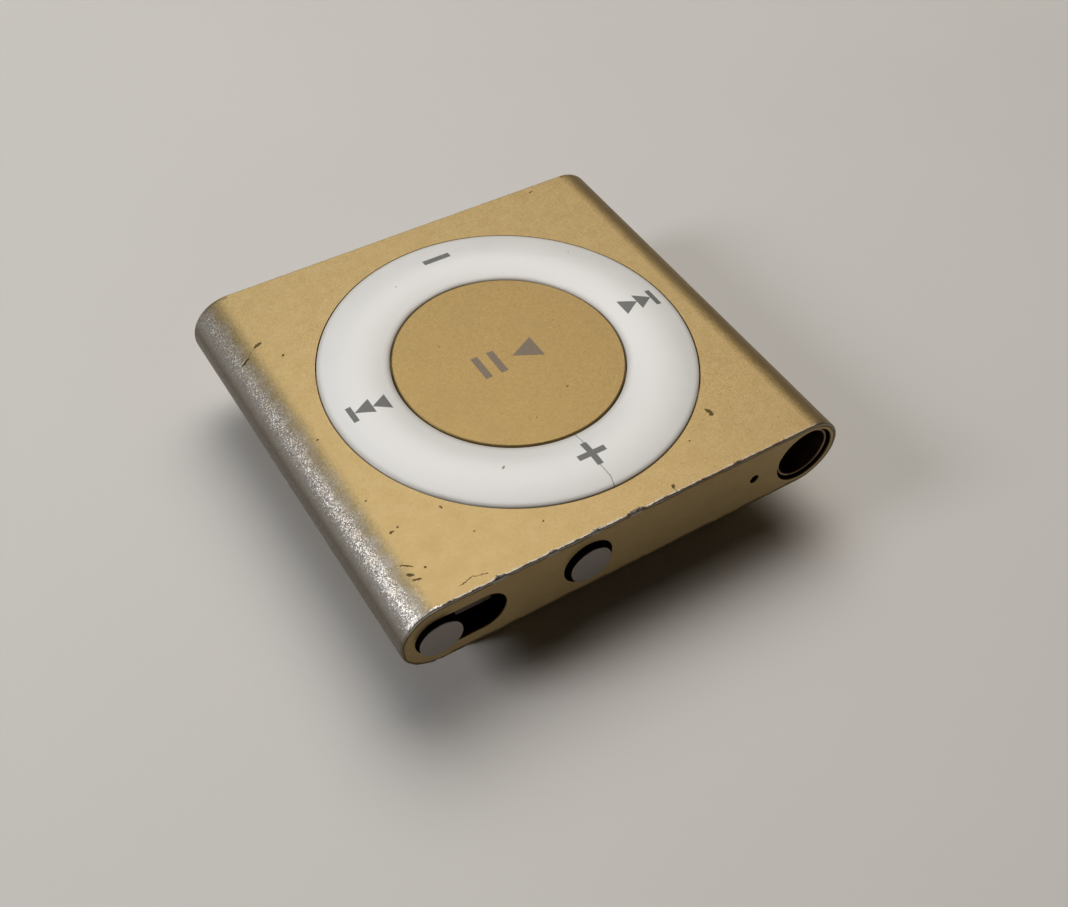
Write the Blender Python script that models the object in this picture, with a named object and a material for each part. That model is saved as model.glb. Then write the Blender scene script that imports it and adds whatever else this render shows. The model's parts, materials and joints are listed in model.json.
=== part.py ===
"""Clip-on digital audio player, modelled as its separate pieces.

The player lies face up on its clip. +X points to the headphone socket side, +Y away from
the ports face, and +Z up out of the control pad. The origin is under the middle of the
body, on the outer face of the clip.
"""

from math import cos, pi, radians, sin

import bmesh
import bpy
from mathutils import Matrix, Vector

MM = 0.001

# ---------------------------------------------------------------- driving dimensions

# Overall shape. The long sides are full rounds, so their radius is half the thickness.
BODY_WIDTH = 31.6 * MM
BODY_LENGTH = 29.0 * MM
BODY_THICKNESS = 5.2 * MM

# Clip
CLIP_WIDTH = 25.2 * MM
CLIP_LENGTH = 25.2 * MM
CLIP_THICKNESS = 1.4 * MM
CLIP_GAP = 2.1 * MM
CLIP_CORNER = 3.0 * MM
CLIP_EDGE = 0.3 * MM
CLIP_OPENING = radians(16)
CLIP_TAIL = 5.6 * MM
LIP_LENGTH = 17.0 * MM
LIP_WIDTH = 1.0 * MM
LIP_INSET = 0.3 * MM
LIP_ROUND = 0.4 * MM

# Clip hinge
PIN_RADIUS = 0.5 * MM
PIN_CLEARANCE = 0.03 * MM
HINGE_SPAN = 17.5 * MM
KNUCKLE_LENGTH = 2.0 * MM
EAR_THICKNESS = 0.8 * MM
HINGE_SIDE_GAP = 0.15 * MM
HINGE_RECESS = 0.1 * MM
HINGE_RECESS_MARGIN = 0.5 * MM
BRACKET_SHEET = 0.3 * MM
BRACKET_WIDTH = 5.2 * MM
BRACKET_WINDOW = 4.0 * MM
BRACKET_WINDOW_GAP = 0.3 * MM
BRACKET_SCREW_PITCH_X = 3.6 * MM
BRACKET_SCREW_PITCH_Y = 8.0 * MM
BRACKET_SCREW_HEAD = (0.8 * MM, 0.27 * MM)
SPRING_WIRE = 0.16 * MM
SPRING_PITCH = 0.45 * MM
SPRING_TURNS = 4.5
SPRING_LEG = 3.2 * MM

# Screws: thread radius and the chamfer on their heads
SCREW_RADIUS = 0.45 * MM
SCREW_HEAD_EDGE = 0.1 * MM

# Housing and its cover
FRONT_WALL = 1.5 * MM
FAR_WALL = 1.5 * MM
SWITCH_SIDE_MARGIN = 0.8 * MM
JACK_WALL = 0.6 * MM
POCKET_CORNER = 1.5 * MM
RECESS_DEPTH = 0.65 * MM
FLOOR_THICKNESS = 0.6 * MM
LEDGE_WIDTH = 0.6 * MM
BACK_THICKNESS = 0.5 * MM
ADHESIVE_THICKNESS = 0.1 * MM
BOSS_RADIUS = 1.1 * MM
BOSS_INSET = 1.5 * MM
BOSS_FRONT_OFFSET = 5.1 * MM
BOSS_FAR_OFFSET = 2.9 * MM
BOSS_ROOF = 0.2 * MM

# Control pad
RING_RADIUS = 12.26 * MM
RING_HOLE_RADIUS = 7.62 * MM
RING_EDGE = 0.43 * MM
RING_CROWN = 0.36 * MM
RING_TILT = radians(0.7)
BUTTON_PROUD = 0.10 * MM
BUTTON_THICKNESS = 0.55 * MM
BUTTON_CHAMFER = 0.10 * MM
BUTTON_TRAVEL = 0.15 * MM
STEM_RADIUS = 1.5 * MM
STEM_GROOVE = 0.3 * MM
STEM_GROOVE_WIDTH = 0.26 * MM
STEM_CLEARANCE = 0.2 * MM
RETAINER_WIDTH = 0.95 * MM
POST_CIRCLE = 8.9 * MM
POST_RADIUS = 0.7 * MM
POST_CLEARANCE = 0.15 * MM
POST_HEAD_RADIUS = 1.0 * MM
POST_HEAD_HEIGHT = 0.2 * MM
GIMBAL_INNER = 7.0 * MM
GIMBAL_OUTER = 10.2 * MM
GIMBAL_THICKNESS = 0.2 * MM
GIMBAL_PAD_RADIUS = 0.35 * MM
DOME_RADIUS = 1.2 * MM
DOME_HEIGHT = 0.13 * MM
DOME_SHEET = 0.05 * MM
FLEX_RADIUS = 10.2 * MM
FLEX_THICKNESS = 0.13 * MM
FLEX_TAIL_WIDTH = 3.2 * MM
FLEX_TAIL_INSET = 4.5 * MM
FLEX_FOLD_GAP = 0.6 * MM
CONNECTOR_LENGTH = 1.5 * MM
CONNECTOR_HEIGHT = 0.2 * MM
CONNECTOR_INSET = 3.3 * MM
CONNECTOR_SIDE = 0.3 * MM
CONNECTOR_MOUTH = 0.6 * MM
SUPPORT_THICKNESS = 0.25 * MM
SUPPORT_LEFT_GAP = 0.5 * MM
SUPPORT_RIGHT_GAP = 0.5 * MM
SUPPORT_BOSS_MARGIN = 1.3 * MM
SUPPORT_CORNER = 1.0 * MM
SUPPORT_NOTCH = 1.0 * MM
SUPPORT_SCREW_HEAD = (0.85 * MM, 0.25 * MM)
SUPPORT_SCREW_ROOF = 0.4 * MM

# Controls and lamp in the ports face
CAP_PROUD = 0.35 * MM
CAP_CHAMFER = 0.1 * MM
CAP_STEPS = 32
KNOB_RADIUS = 1.4 * MM
KNOB_CLEARANCE = 0.13 * MM
KNOB_THICKNESS = 0.95 * MM
KNOB_NECK_RADIUS = 0.9 * MM
SWITCH_TRAVEL = 2.94 * MM
SLOT_EDGE = 0.9 * MM
SLOT_WALL = 1.0 * MM
SLOT_BAY_DEPTH = 1.7 * MM
SLOT_BAY_LEDGE = 0.18 * MM
SLOT_BAY_GAP = 0.2 * MM
SLIDER_EDGE_GAP = 0.6 * MM
SLIDER_THICKNESS = 0.35 * MM
SLIDER_BEHIND = 1.0 * MM
SLIDER_AHEAD = 4.1 * MM
FINGER_OFFSET = 2.2 * MM
FINGER_WIDTH = 0.7 * MM
FINGER_HALF_HEIGHT = 0.3 * MM
FINGER_LENGTH = 0.55 * MM
SWITCH_GAP = 0.15 * MM
SWITCH_GROOVE_GAP = 0.3 * MM
SWITCH_CASE_WALL = 0.7 * MM
SWITCH_CASE_DEPTH = 1.4 * MM
SWITCH_CASE_REACH = 0.85 * MM
ANNOUNCE_RADIUS = 1.4 * MM
ANNOUNCE_CLEARANCE = 0.3 * MM
ANNOUNCE_TRAVEL = 0.25 * MM
ANNOUNCE_SPACING = 8.6 * MM
ANNOUNCE_NECK_RADIUS = 0.6 * MM
ANNOUNCE_NECK_LENGTH = 0.4 * MM
ANNOUNCE_FLANGE = 0.3 * MM
ANNOUNCE_FLANGE_MARGIN = 0.5 * MM
CLICKER_WIDTH = 3.4 * MM
CLICKER_DEPTH = 1.0 * MM
CLICKER_REACH = 0.8 * MM
PLUNGER_RADIUS = 0.6 * MM
PLUNGER_LENGTH = 0.16 * MM
LAMP_RADIUS = 0.27 * MM
LAMP_CLEARANCE = 0.07 * MM
LAMP_SPACING = 4.03 * MM
LAMP_FLANGE = 0.2 * MM
LED_WIDTH = 1.0 * MM
LED_DEPTH = 0.6 * MM
LED_REACH = 0.3 * MM

# Headphone socket
JACK_BORE = 3.6 * MM
JACK_SLEEVE_WALL = 0.2 * MM
JACK_SLEEVE_LENGTH = 2.9 * MM
JACK_SLEEVE_RECESS = 0.2 * MM
JACK_SLEEVE_FLANGE = 0.3 * MM
JACK_MOUTH_GAP = 0.15 * MM
JACK_TUBE_WALL = 0.15 * MM
JACK_DEPTH = 14.5 * MM
JACK_END_WALL = 0.4 * MM
CONTACT_SHEET = 0.15 * MM
CONTACT_WIDTH = 0.8 * MM
CONTACT_DROP = 0.1 * MM
CONTACT_REACH = 0.1 * MM
CONTACT_FOOT = 1.0 * MM
CONTACT_STANDOFF = 0.08 * MM
CONTACT_SLOT_SIDE = 0.2 * MM
CONTACT_SLOT_BELOW = 0.45 * MM
CONTACT_SLOT_ABOVE = 0.35 * MM
CONTACT_BAY_BELOW = 1.1 * MM
CONTACT_BAY_ABOVE = 0.9 * MM
CONTACT_DEPTHS = {
    "jack_contact_sleeve": 3.7 * MM,
    "jack_contact_ring": 7.6 * MM,
    "jack_contact_tip": 12.3 * MM,
}

# Board and battery
BOARD_LENGTH = 11.7 * MM
BOARD_THICKNESS = 0.4 * MM
BOARD_HEIGHT = 0.95 * MM
BOARD_GAP = 0.3 * MM
BOARD_CORNER = 0.8 * MM
BATTERY_LENGTH = 11.2 * MM
BATTERY_SIDE_GAP = 1.1 * MM
BATTERY_CORNER = 0.8 * MM
BATTERY_EDGE = 0.2 * MM
BATTERY_THICKNESS = 1.55 * MM
BATTERY_PAD_THICKNESS = 0.15 * MM
BATTERY_PAD_INSET = 1.3 * MM
LEAD_RADIUS = 0.18 * MM

# Clearances
SEAM = 0.08 * MM
SMALL_GAP = 0.05 * MM
FIT_GAP = 0.03 * MM
SWING_GAP = 0.03 * MM
CUT_MARGIN = 1.0 * MM
BLEND_IN = 0.1 * MM

ROUND_STEPS = 24
DISC_STEPS = 72
SMALL_STEPS = 20

# ---------------------------------------------------------------- derived places

SIDE_RADIUS = BODY_THICKNESS / 2
BODY_BOTTOM = CLIP_THICKNESS + CLIP_GAP
BODY_TOP = BODY_BOTTOM + BODY_THICKNESS
MID_Z = BODY_BOTTOM + SIDE_RADIUS
ROUND_X = BODY_WIDTH / 2 - SIDE_RADIUS
FRONT_Y = -BODY_LENGTH / 2
FAR_Y = BODY_LENGTH / 2

PIN_X = CLIP_WIDTH / 2 - CLIP_TAIL
PIN_Z = CLIP_THICKNESS + CLIP_GAP / 2
KNUCKLE_RADIUS = CLIP_GAP / 2 - HINGE_SIDE_GAP

FLOOR_TOP = BODY_TOP - RECESS_DEPTH
CEILING = FLOOR_TOP - FLOOR_THICKNESS
RING_BOTTOM = BODY_TOP - RING_EDGE
GIMBAL_TOP = CEILING - GIMBAL_OUTER * sin(RING_TILT) - SWING_GAP
GIMBAL_BOTTOM = GIMBAL_TOP - GIMBAL_THICKNESS
HEAD_SWING = (POST_CIRCLE + POST_HEAD_RADIUS) * sin(RING_TILT)
HEAD_TOP = GIMBAL_BOTTOM - HEAD_SWING - SWING_GAP
HEAD_BOTTOM = HEAD_TOP - POST_HEAD_HEIGHT
DOME_TOP = HEAD_BOTTOM - max(HEAD_SWING, BUTTON_TRAVEL) - SWING_GAP
DOME_BOTTOM = DOME_TOP - DOME_HEIGHT
FLEX_TOP = DOME_BOTTOM - FIT_GAP
FLEX_BOTTOM = FLEX_TOP - FLEX_THICKNESS
SUPPORT_TOP = FLEX_BOTTOM - SMALL_GAP
SUPPORT_BOTTOM = SUPPORT_TOP - SUPPORT_THICKNESS

BACK_TOP = BODY_BOTTOM + BACK_THICKNESS
LEDGE_Z = BACK_TOP + ADHESIVE_THICKNESS + 2 * SMALL_GAP
BOARD_BOTTOM = BACK_TOP + BOARD_HEIGHT
BOARD_TOP = BOARD_BOTTOM + BOARD_THICKNESS

JACK_TUBE_RADIUS = JACK_BORE / 2 + JACK_TUBE_WALL
JACK_HOLE_RADIUS = JACK_TUBE_RADIUS + SMALL_GAP
JACK_SLEEVE_RADIUS = JACK_BORE / 2 + JACK_SLEEVE_WALL
JACK_MOUTH_RADIUS = JACK_SLEEVE_RADIUS + JACK_MOUTH_GAP
JACK_SLEEVE_END = FRONT_Y + JACK_SLEEVE_RECESS + JACK_SLEEVE_LENGTH
JACK_STEP_Y = JACK_SLEEVE_END + SMALL_GAP
JACK_END_Y = FRONT_Y + JACK_DEPTH + JACK_END_WALL

POCKET_LEFT = -ROUND_X + SWITCH_SIDE_MARGIN
POCKET_RIGHT = ROUND_X - JACK_HOLE_RADIUS - JACK_WALL
POCKET_FRONT = FRONT_Y + FRONT_WALL
POCKET_FAR = FAR_Y - FAR_WALL
BOSS_PLACES = [
    (x, y)
    for x in (POCKET_LEFT + BOSS_INSET, POCKET_RIGHT - BOSS_INSET)
    for y in (FRONT_Y + BOSS_FRONT_OFFSET, FAR_Y - BOSS_FAR_OFFSET)
]

SLOT_RADIUS = KNOB_RADIUS + KNOB_CLEARANCE
SLOT_LEFT = -BODY_WIDTH / 2 + SLOT_EDGE
SLOT_RIGHT = SLOT_LEFT + SWITCH_TRAVEL + 2 * SLOT_RADIUS
KNOB_X = SLOT_LEFT + SLOT_RADIUS
SLIDER_LEFT = KNOB_X - SLIDER_BEHIND
SLIDER_RIGHT = KNOB_X + SLIDER_AHEAD
SLIDER_HALF_HEIGHT = KNOB_RADIUS + KNOB_CLEARANCE - SLOT_BAY_LEDGE - SLIDER_EDGE_GAP
SLIDER_FRONT = FRONT_Y + SLOT_WALL + SMALL_GAP
SLIDER_BACK = SLIDER_FRONT + SLIDER_THICKNESS
ANNOUNCE_X = (SLOT_LEFT + SLOT_RIGHT) / 2 + ANNOUNCE_SPACING
LAMP_X = ROUND_X - LAMP_SPACING

BOARD_LEFT = POCKET_LEFT + BOARD_GAP
BOARD_RIGHT = POCKET_RIGHT - BOARD_GAP
BOARD_FRONT = POCKET_FRONT + BOARD_GAP
BOARD_BACK = BOARD_FRONT + BOARD_LENGTH
BOARD_X = (BOARD_LEFT + BOARD_RIGHT) / 2
BOARD_Y = (BOARD_FRONT + BOARD_BACK) / 2
BATTERY_FRONT = BOARD_BACK + BOARD_GAP
BATTERY_BACK = BATTERY_FRONT + BATTERY_LENGTH
TAIL_Y = BOARD_BACK - FLEX_TAIL_INSET

# ---------------------------------------------------------------- materials


def material(name, colour, metallic, roughness):
    """A plain Principled material in the piece's own colour."""
    made = bpy.data.materials.new(name)
    made.use_nodes = True
    shader = made.node_tree.nodes["Principled BSDF"]
    shader.inputs["Base Color"].default_value = (*colour, 1.0)
    shader.inputs["Metallic"].default_value = metallic
    shader.inputs["Roughness"].default_value = roughness
    return made


def make_materials():
    """Every finish on the player, by the name of what it is made of."""
    return {
        "gold": material("gold_anodised_aluminium", (0.52, 0.36, 0.15), 1.0, 0.42),
        "white": material("white_polycarbonate", (0.82, 0.81, 0.79), 0.0, 0.3),
        "cap": material("satin_grey_metal", (0.50, 0.47, 0.46), 0.6, 0.4),
        "steel": material("spring_steel", (0.55, 0.55, 0.56), 1.0, 0.3),
        "brass": material("gold_plated_contact", (0.72, 0.52, 0.22), 1.0, 0.3),
        "black": material("black_plastic", (0.02, 0.02, 0.022), 0.0, 0.45),
        "board": material("solder_mask", (0.01, 0.06, 0.03), 0.0, 0.4),
        "chip": material("chip_resin", (0.03, 0.03, 0.03), 0.0, 0.55),
        "flex": material("polyimide_film", (0.35, 0.16, 0.03), 0.0, 0.35),
        "adhesive": material("adhesive_tape", (0.08, 0.08, 0.08), 0.0, 0.7),
        "pouch": material("battery_pouch", (0.45, 0.46, 0.48), 0.7, 0.35),
        "clear": material("clear_acrylic", (0.75, 0.75, 0.72), 0.0, 0.15),
        "red": material("red_insulation", (0.45, 0.02, 0.02), 0.0, 0.4),
    }


# ---------------------------------------------------------------- outlines


def arc(centre, radius, start, end, steps):
    """Points along an arc, both ends included, with angles in degrees."""
    angles = [radians(start + (end - start) * i / steps) for i in range(steps + 1)]
    return [(centre[0] + radius * cos(a), centre[1] + radius * sin(a)) for a in angles]


def circle(centre, radius, steps):
    """Points round a full circle."""
    return arc(centre, radius, 0, 360 - 360 / steps, steps - 1)


def rounded_box(low, high, radius, steps=5):
    """Outline of a rectangle with round corners, from its lowest to its highest corner."""
    left, bottom = low[0] + radius, low[1] + radius
    right, top = high[0] - radius, high[1] - radius
    return (
        arc((right, bottom), radius, -90, 0, steps)
        + arc((right, top), radius, 0, 90, steps)
        + arc((left, top), radius, 90, 180, steps)
        + arc((left, bottom), radius, 180, 270, steps)
    )


def long_round(left, right, middle, radius, steps):
    """Outline of a slot with full-round ends, from its left tip to its right tip."""
    return arc((right - radius, middle), radius, -90, 90, steps) + arc(
        (left + radius, middle), radius, 90, 270, steps
    )


def ribbon(points, thickness):
    """Outline of a bent strip: its middle line offset to both sides, with mitred bends."""
    sides = ([], [])
    for i, here in enumerate(points):
        before = Vector(points[max(i - 1, 0)])
        after = Vector(points[min(i + 1, len(points) - 1)])
        into = (Vector(here) - before).normalized() if i else None
        out = (after - Vector(here)).normalized() if i < len(points) - 1 else None
        into, out = into or out, out or into
        mitre = Vector((-(into + out).y, (into + out).x)).normalized()
        reach = thickness / 2 / mitre.dot(Vector((-into.y, into.x)))
        sides[0].append(tuple(Vector(here) + mitre * reach))
        sides[1].append(tuple(Vector(here) - mitre * reach))
    return sides[0] + sides[1][::-1]


# ---------------------------------------------------------------- making pieces

PLANES = {
    "XY": (lambda u, v, w: (u, v, w), Vector((0, 0, 1))),
    "XZ": (lambda u, v, w: (u, w, v), Vector((0, 1, 0))),
}


def make_object(name, mesh_maker, finish=None, location=(0, 0, 0)):
    """Turns a bmesh into a named object with its finish and smooth round faces."""
    bmesh.ops.remove_doubles(mesh_maker, verts=mesh_maker.verts, dist=1e-7)
    bmesh.ops.recalc_face_normals(mesh_maker, faces=mesh_maker.faces)
    mesh = bpy.data.meshes.new(name)
    mesh_maker.to_mesh(mesh)
    mesh_maker.free()
    mesh.shade_smooth()
    mesh.set_sharp_from_angle(angle=radians(35))
    return place(name, mesh, finish, location)


def place(name, data, finish=None, location=(0, 0, 0)):
    """Puts mesh or curve data in the scene as an object."""
    made = bpy.data.objects.new(name, data)
    made.location = location
    bpy.context.scene.collection.objects.link(made)
    if finish and not data.materials:
        data.materials.append(finish)
    return made


def prism(name, outline, low, high, plane="XY", finish=None, edge=0.0):
    """An outline pushed along the axis square to its plane, with optional rounded rims."""
    to_point, axis = PLANES[plane]
    bm = bmesh.new()
    corners = [bm.verts.new(to_point(u, v, low)) for u, v in outline]
    base = bm.faces.new(corners)
    pushed = bmesh.ops.extrude_face_region(bm, geom=[base])["geom"]
    moved = [v for v in pushed if isinstance(v, bmesh.types.BMVert)]
    bmesh.ops.translate(bm, verts=moved, vec=axis * (high - low))
    if edge:
        rims = [e for e in bm.edges if abs((e.verts[0].co - e.verts[1].co).dot(axis)) < 1e-9]
        bmesh.ops.bevel(
            bm, geom=rims, offset=edge, segments=2, profile=0.5, affect="EDGES", material=-1
        )
    return make_object(name, bm, finish)


def turned(name, profile, centre, axis="Z", steps=DISC_STEPS, closed=False, finish=None):
    """A profile of (radius, height) points spun round an axis through the centre.

    A closed profile makes a ring; an open one starts and ends on the axis.
    """
    along = {"Z": Vector((0, 0, 1)), "Y": Vector((0, 1, 0))}[axis]
    bm = bmesh.new()
    points = [bm.verts.new(Vector((r, 0, 0)) + along * h) for r, h in profile]
    edges = [bm.edges.new(pair) for pair in zip(points, points[1:])]
    if closed:
        edges.append(bm.edges.new((points[-1], points[0])))
    bmesh.ops.spin(
        bm,
        geom=points + edges,
        cent=(0, 0, 0),
        axis=along,
        angle=2 * pi,
        steps=steps,
        use_merge=True,
    )
    bmesh.ops.translate(bm, verts=bm.verts, vec=centre)
    return make_object(name, bm, finish)


def cylinder(name, centre, radius, low, high, axis="Z", steps=SMALL_STEPS, finish=None):
    """A plain round bar from low to high along the axis."""
    profile = [(0, low), (radius, low), (radius, high), (0, high)]
    return turned(name, profile, centre, axis, steps, finish=finish)


def block(name, low, high, finish=None, edge=0.0):
    """A rectangular block between two corners."""
    outline = [(low[0], low[1]), (high[0], low[1]), (high[0], high[1]), (low[0], high[1])]
    return prism(name, outline, low[2], high[2], "XY", finish, edge)


def combine(body, tool, operation="DIFFERENCE"):
    """Cuts the tool from the body, or joins it on, with a live Boolean."""
    tool.hide_render = True
    tool.display_type = "WIRE"
    change = body.modifiers.new(tool.name, "BOOLEAN")
    change.operation = operation
    change.solver = "EXACT"
    change.object = tool


def tube(name, points, radius, sides_level, finish):
    """A wire along a line of points, with closed ends."""
    curve = bpy.data.curves.new(name, "CURVE")
    curve.dimensions = "3D"
    curve.bevel_depth = radius
    curve.bevel_resolution = sides_level
    curve.use_fill_caps = True
    line = curve.splines.new("POLY")
    line.points.add(len(points) - 1)
    for spot, point in zip(line.points, points):
        spot.co = (*point, 1)
    return place(name, curve, finish)


def axis_empty(name, location, pieces):
    """An empty on a joint's axis that carries the pieces that move with it."""
    axis = bpy.data.objects.new(name, None)
    axis.location = location
    bpy.context.scene.collection.objects.link(axis)
    to_local = Matrix.Translation(Vector(location)).inverted()
    for piece in pieces:
        piece.parent = axis
        piece.matrix_parent_inverse = to_local


# ---------------------------------------------------------------- housing and cover


def make_housing(finish):
    """The shell: a flat tube with full-round sides, recessed on top and pocketed below."""
    outline = long_round(-BODY_WIDTH / 2, BODY_WIDTH / 2, MID_Z, SIDE_RADIUS, ROUND_STEPS)
    housing = prism("housing", outline, FRONT_Y, FAR_Y, "XZ", finish)
    above = BODY_TOP + CUT_MARGIN
    below = BODY_BOTTOM - CUT_MARGIN
    recess = cylinder(
        "cut_pad_recess", (0, 0, 0), RING_RADIUS + SEAM, FLOOR_TOP, above, steps=DISC_STEPS
    )
    combine(housing, recess)
    pocket = rounded_box(
        (POCKET_LEFT, POCKET_FRONT), (POCKET_RIGHT, POCKET_FAR), POCKET_CORNER
    )
    combine(housing, prism("cut_pocket", pocket, below, CEILING))
    cover = rounded_box(
        (POCKET_LEFT - LEDGE_WIDTH, POCKET_FRONT - LEDGE_WIDTH),
        (POCKET_RIGHT + LEDGE_WIDTH, POCKET_FAR + LEDGE_WIDTH),
        POCKET_CORNER + LEDGE_WIDTH,
    )
    combine(housing, prism("cut_cover_seat", cover, below, LEDGE_Z))
    cut_pad_holes(housing)
    cut_ports(housing)
    add_bosses(housing)


def cut_pad_holes(housing):
    """Holes in the recess floor for the button's stem and the ring's four posts."""
    low, high = CEILING - CUT_MARGIN, FLOOR_TOP + CUT_MARGIN
    stem = cylinder("cut_stem_hole", (0, 0, 0), STEM_RADIUS + STEM_CLEARANCE, low, high)
    combine(housing, stem)
    for name, (x, y) in post_places().items():
        hole = cylinder(
            "cut_post_" + name, (x, y, 0), POST_RADIUS + POST_CLEARANCE, low, high
        )
        combine(housing, hole)


def cut_ports(housing):
    """The switch slot, button hole, lamp hole and headphone socket in the ports face."""
    front = FRONT_Y - CUT_MARGIN
    bay_back = FRONT_Y + SLOT_WALL
    slot = long_round(SLOT_LEFT, SLOT_RIGHT, MID_Z, SLOT_RADIUS, ROUND_STEPS // 2)
    combine(housing, prism("cut_switch_slot", slot, front, bay_back + SMALL_GAP, "XZ"))
    bay_reach = SLOT_RADIUS - SLOT_BAY_LEDGE
    bay_right = SLIDER_RIGHT + SWITCH_TRAVEL + SLOT_BAY_GAP
    combine(
        housing,
        block(
            "cut_switch_bay",
            (SLOT_LEFT, bay_back, MID_Z - bay_reach),
            (bay_right, FRONT_Y + FRONT_WALL + SLOT_BAY_DEPTH, MID_Z + bay_reach),
        ),
    )
    back = POCKET_FRONT + BLEND_IN
    hole = cylinder(
        "cut_announce_hole",
        (ANNOUNCE_X, 0, MID_Z),
        ANNOUNCE_RADIUS + ANNOUNCE_CLEARANCE,
        front,
        back,
        "Y",
        2 * ROUND_STEPS,
    )
    combine(housing, hole)
    lamp = cylinder(
        "cut_lamp_hole", (LAMP_X, 0, MID_Z), LAMP_RADIUS + LAMP_CLEARANCE, front, back, "Y"
    )
    combine(housing, lamp)
    socket = [
        (0, front),
        (JACK_MOUTH_RADIUS, front),
        (JACK_MOUTH_RADIUS, JACK_STEP_Y),
        (JACK_HOLE_RADIUS, JACK_STEP_Y),
        (JACK_HOLE_RADIUS, JACK_END_Y + SMALL_GAP),
        (0, JACK_END_Y + SMALL_GAP),
    ]
    combine(housing, turned("cut_socket", socket, (ROUND_X, 0, MID_Z), "Y", 2 * ROUND_STEPS))
    depths = CONTACT_DEPTHS.values()
    window_right = ROUND_X - 0.8 * JACK_HOLE_RADIUS
    combine(
        housing,
        block(
            "cut_contact_bay",
            (
                POCKET_RIGHT - BLEND_IN,
                FRONT_Y + min(depths) - CONTACT_WIDTH,
                MID_Z - CONTACT_BAY_BELOW,
            ),
            (window_right, FRONT_Y + max(depths) + CONTACT_WIDTH, MID_Z + CONTACT_BAY_ABOVE),
        ),
    )


def add_bosses(housing):
    """Four screw bosses that hang from the recess floor inside the pocket."""
    for i, (x, y) in enumerate(BOSS_PLACES, 1):
        boss = cylinder(
            f"add_boss_{i}",
            (x, y, 0),
            BOSS_RADIUS,
            SUPPORT_TOP + FIT_GAP,
            CEILING + BLEND_IN,
        )
        combine(housing, boss, "UNION")
        hole = cylinder(
            f"cut_boss_{i}",
            (x, y, 0),
            SCREW_RADIUS + SMALL_GAP,
            SUPPORT_TOP - CUT_MARGIN,
            CEILING - BOSS_ROOF,
        )
        combine(housing, hole)


def make_back(finish, adhesive):
    """The cover under the pocket, and the bonding frame between it and its ledge."""
    low = (POCKET_LEFT - LEDGE_WIDTH + SEAM, POCKET_FRONT - LEDGE_WIDTH + SEAM)
    high = (POCKET_RIGHT + LEDGE_WIDTH - SEAM, POCKET_FAR + LEDGE_WIDTH - SEAM)
    corner = POCKET_CORNER + LEDGE_WIDTH - SEAM
    outline = rounded_box(low, high, corner)
    plate = prism("back_plate", outline, BODY_BOTTOM, BACK_TOP, "XY", finish)
    for i, (x, y) in enumerate(bracket_screw_places(), 1):
        hole = cylinder(
            f"cut_back_screw_{i}",
            (x, y, 0),
            SCREW_RADIUS + FIT_GAP,
            BODY_BOTTOM - CUT_MARGIN,
            BACK_TOP + CUT_MARGIN,
        )
        combine(plate, hole)
    bottom = BACK_TOP + SMALL_GAP
    top = bottom + ADHESIVE_THICKNESS
    frame = prism("back_plate_adhesive", outline, bottom, top, "XY", adhesive)
    inside = rounded_box((POCKET_LEFT, POCKET_FRONT), (POCKET_RIGHT, POCKET_FAR), POCKET_CORNER)
    combine(frame, prism("cut_adhesive", inside, bottom - CUT_MARGIN, top + CUT_MARGIN))


# ---------------------------------------------------------------- clip


def make_screw(name, head, shank_length, finish):
    """A pan-head screw pointing up, with its origin under its head.

    The head is given as its radius and height.
    """
    head_radius, head_height = head
    profile = [
        (0, -head_height),
        (head_radius - SCREW_HEAD_EDGE, -head_height),
        (head_radius, -head_height + SCREW_HEAD_EDGE),
        (head_radius, 0),
        (SCREW_RADIUS, 0),
        (SCREW_RADIUS, shank_length),
        (0, shank_length),
    ]
    return turned(name, profile, (0, 0, 0), steps=16, finish=finish)


def bracket_screw_places():
    """The four screws round the bracket's middle."""
    half_x, half_y = BRACKET_SCREW_PITCH_X / 2, BRACKET_SCREW_PITCH_Y / 2
    return [(PIN_X + sx * half_x, sy * half_y) for sx in (-1, 1) for sy in (-1, 1)]


def hinge_cheek(foot_z):
    """Outline of a hinge ear or knuckle: round about the pin, straight to its foot."""
    centre = (PIN_X, PIN_Z)
    if foot_z > PIN_Z:
        return arc(centre, KNUCKLE_RADIUS, 180, 360, 12) + [
            (PIN_X + KNUCKLE_RADIUS, foot_z),
            (PIN_X - KNUCKLE_RADIUS, foot_z),
        ]
    return arc(centre, KNUCKLE_RADIUS, 0, 180, 12) + [
        (PIN_X - KNUCKLE_RADIUS, foot_z),
        (PIN_X + KNUCKLE_RADIUS, foot_z),
    ]


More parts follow.
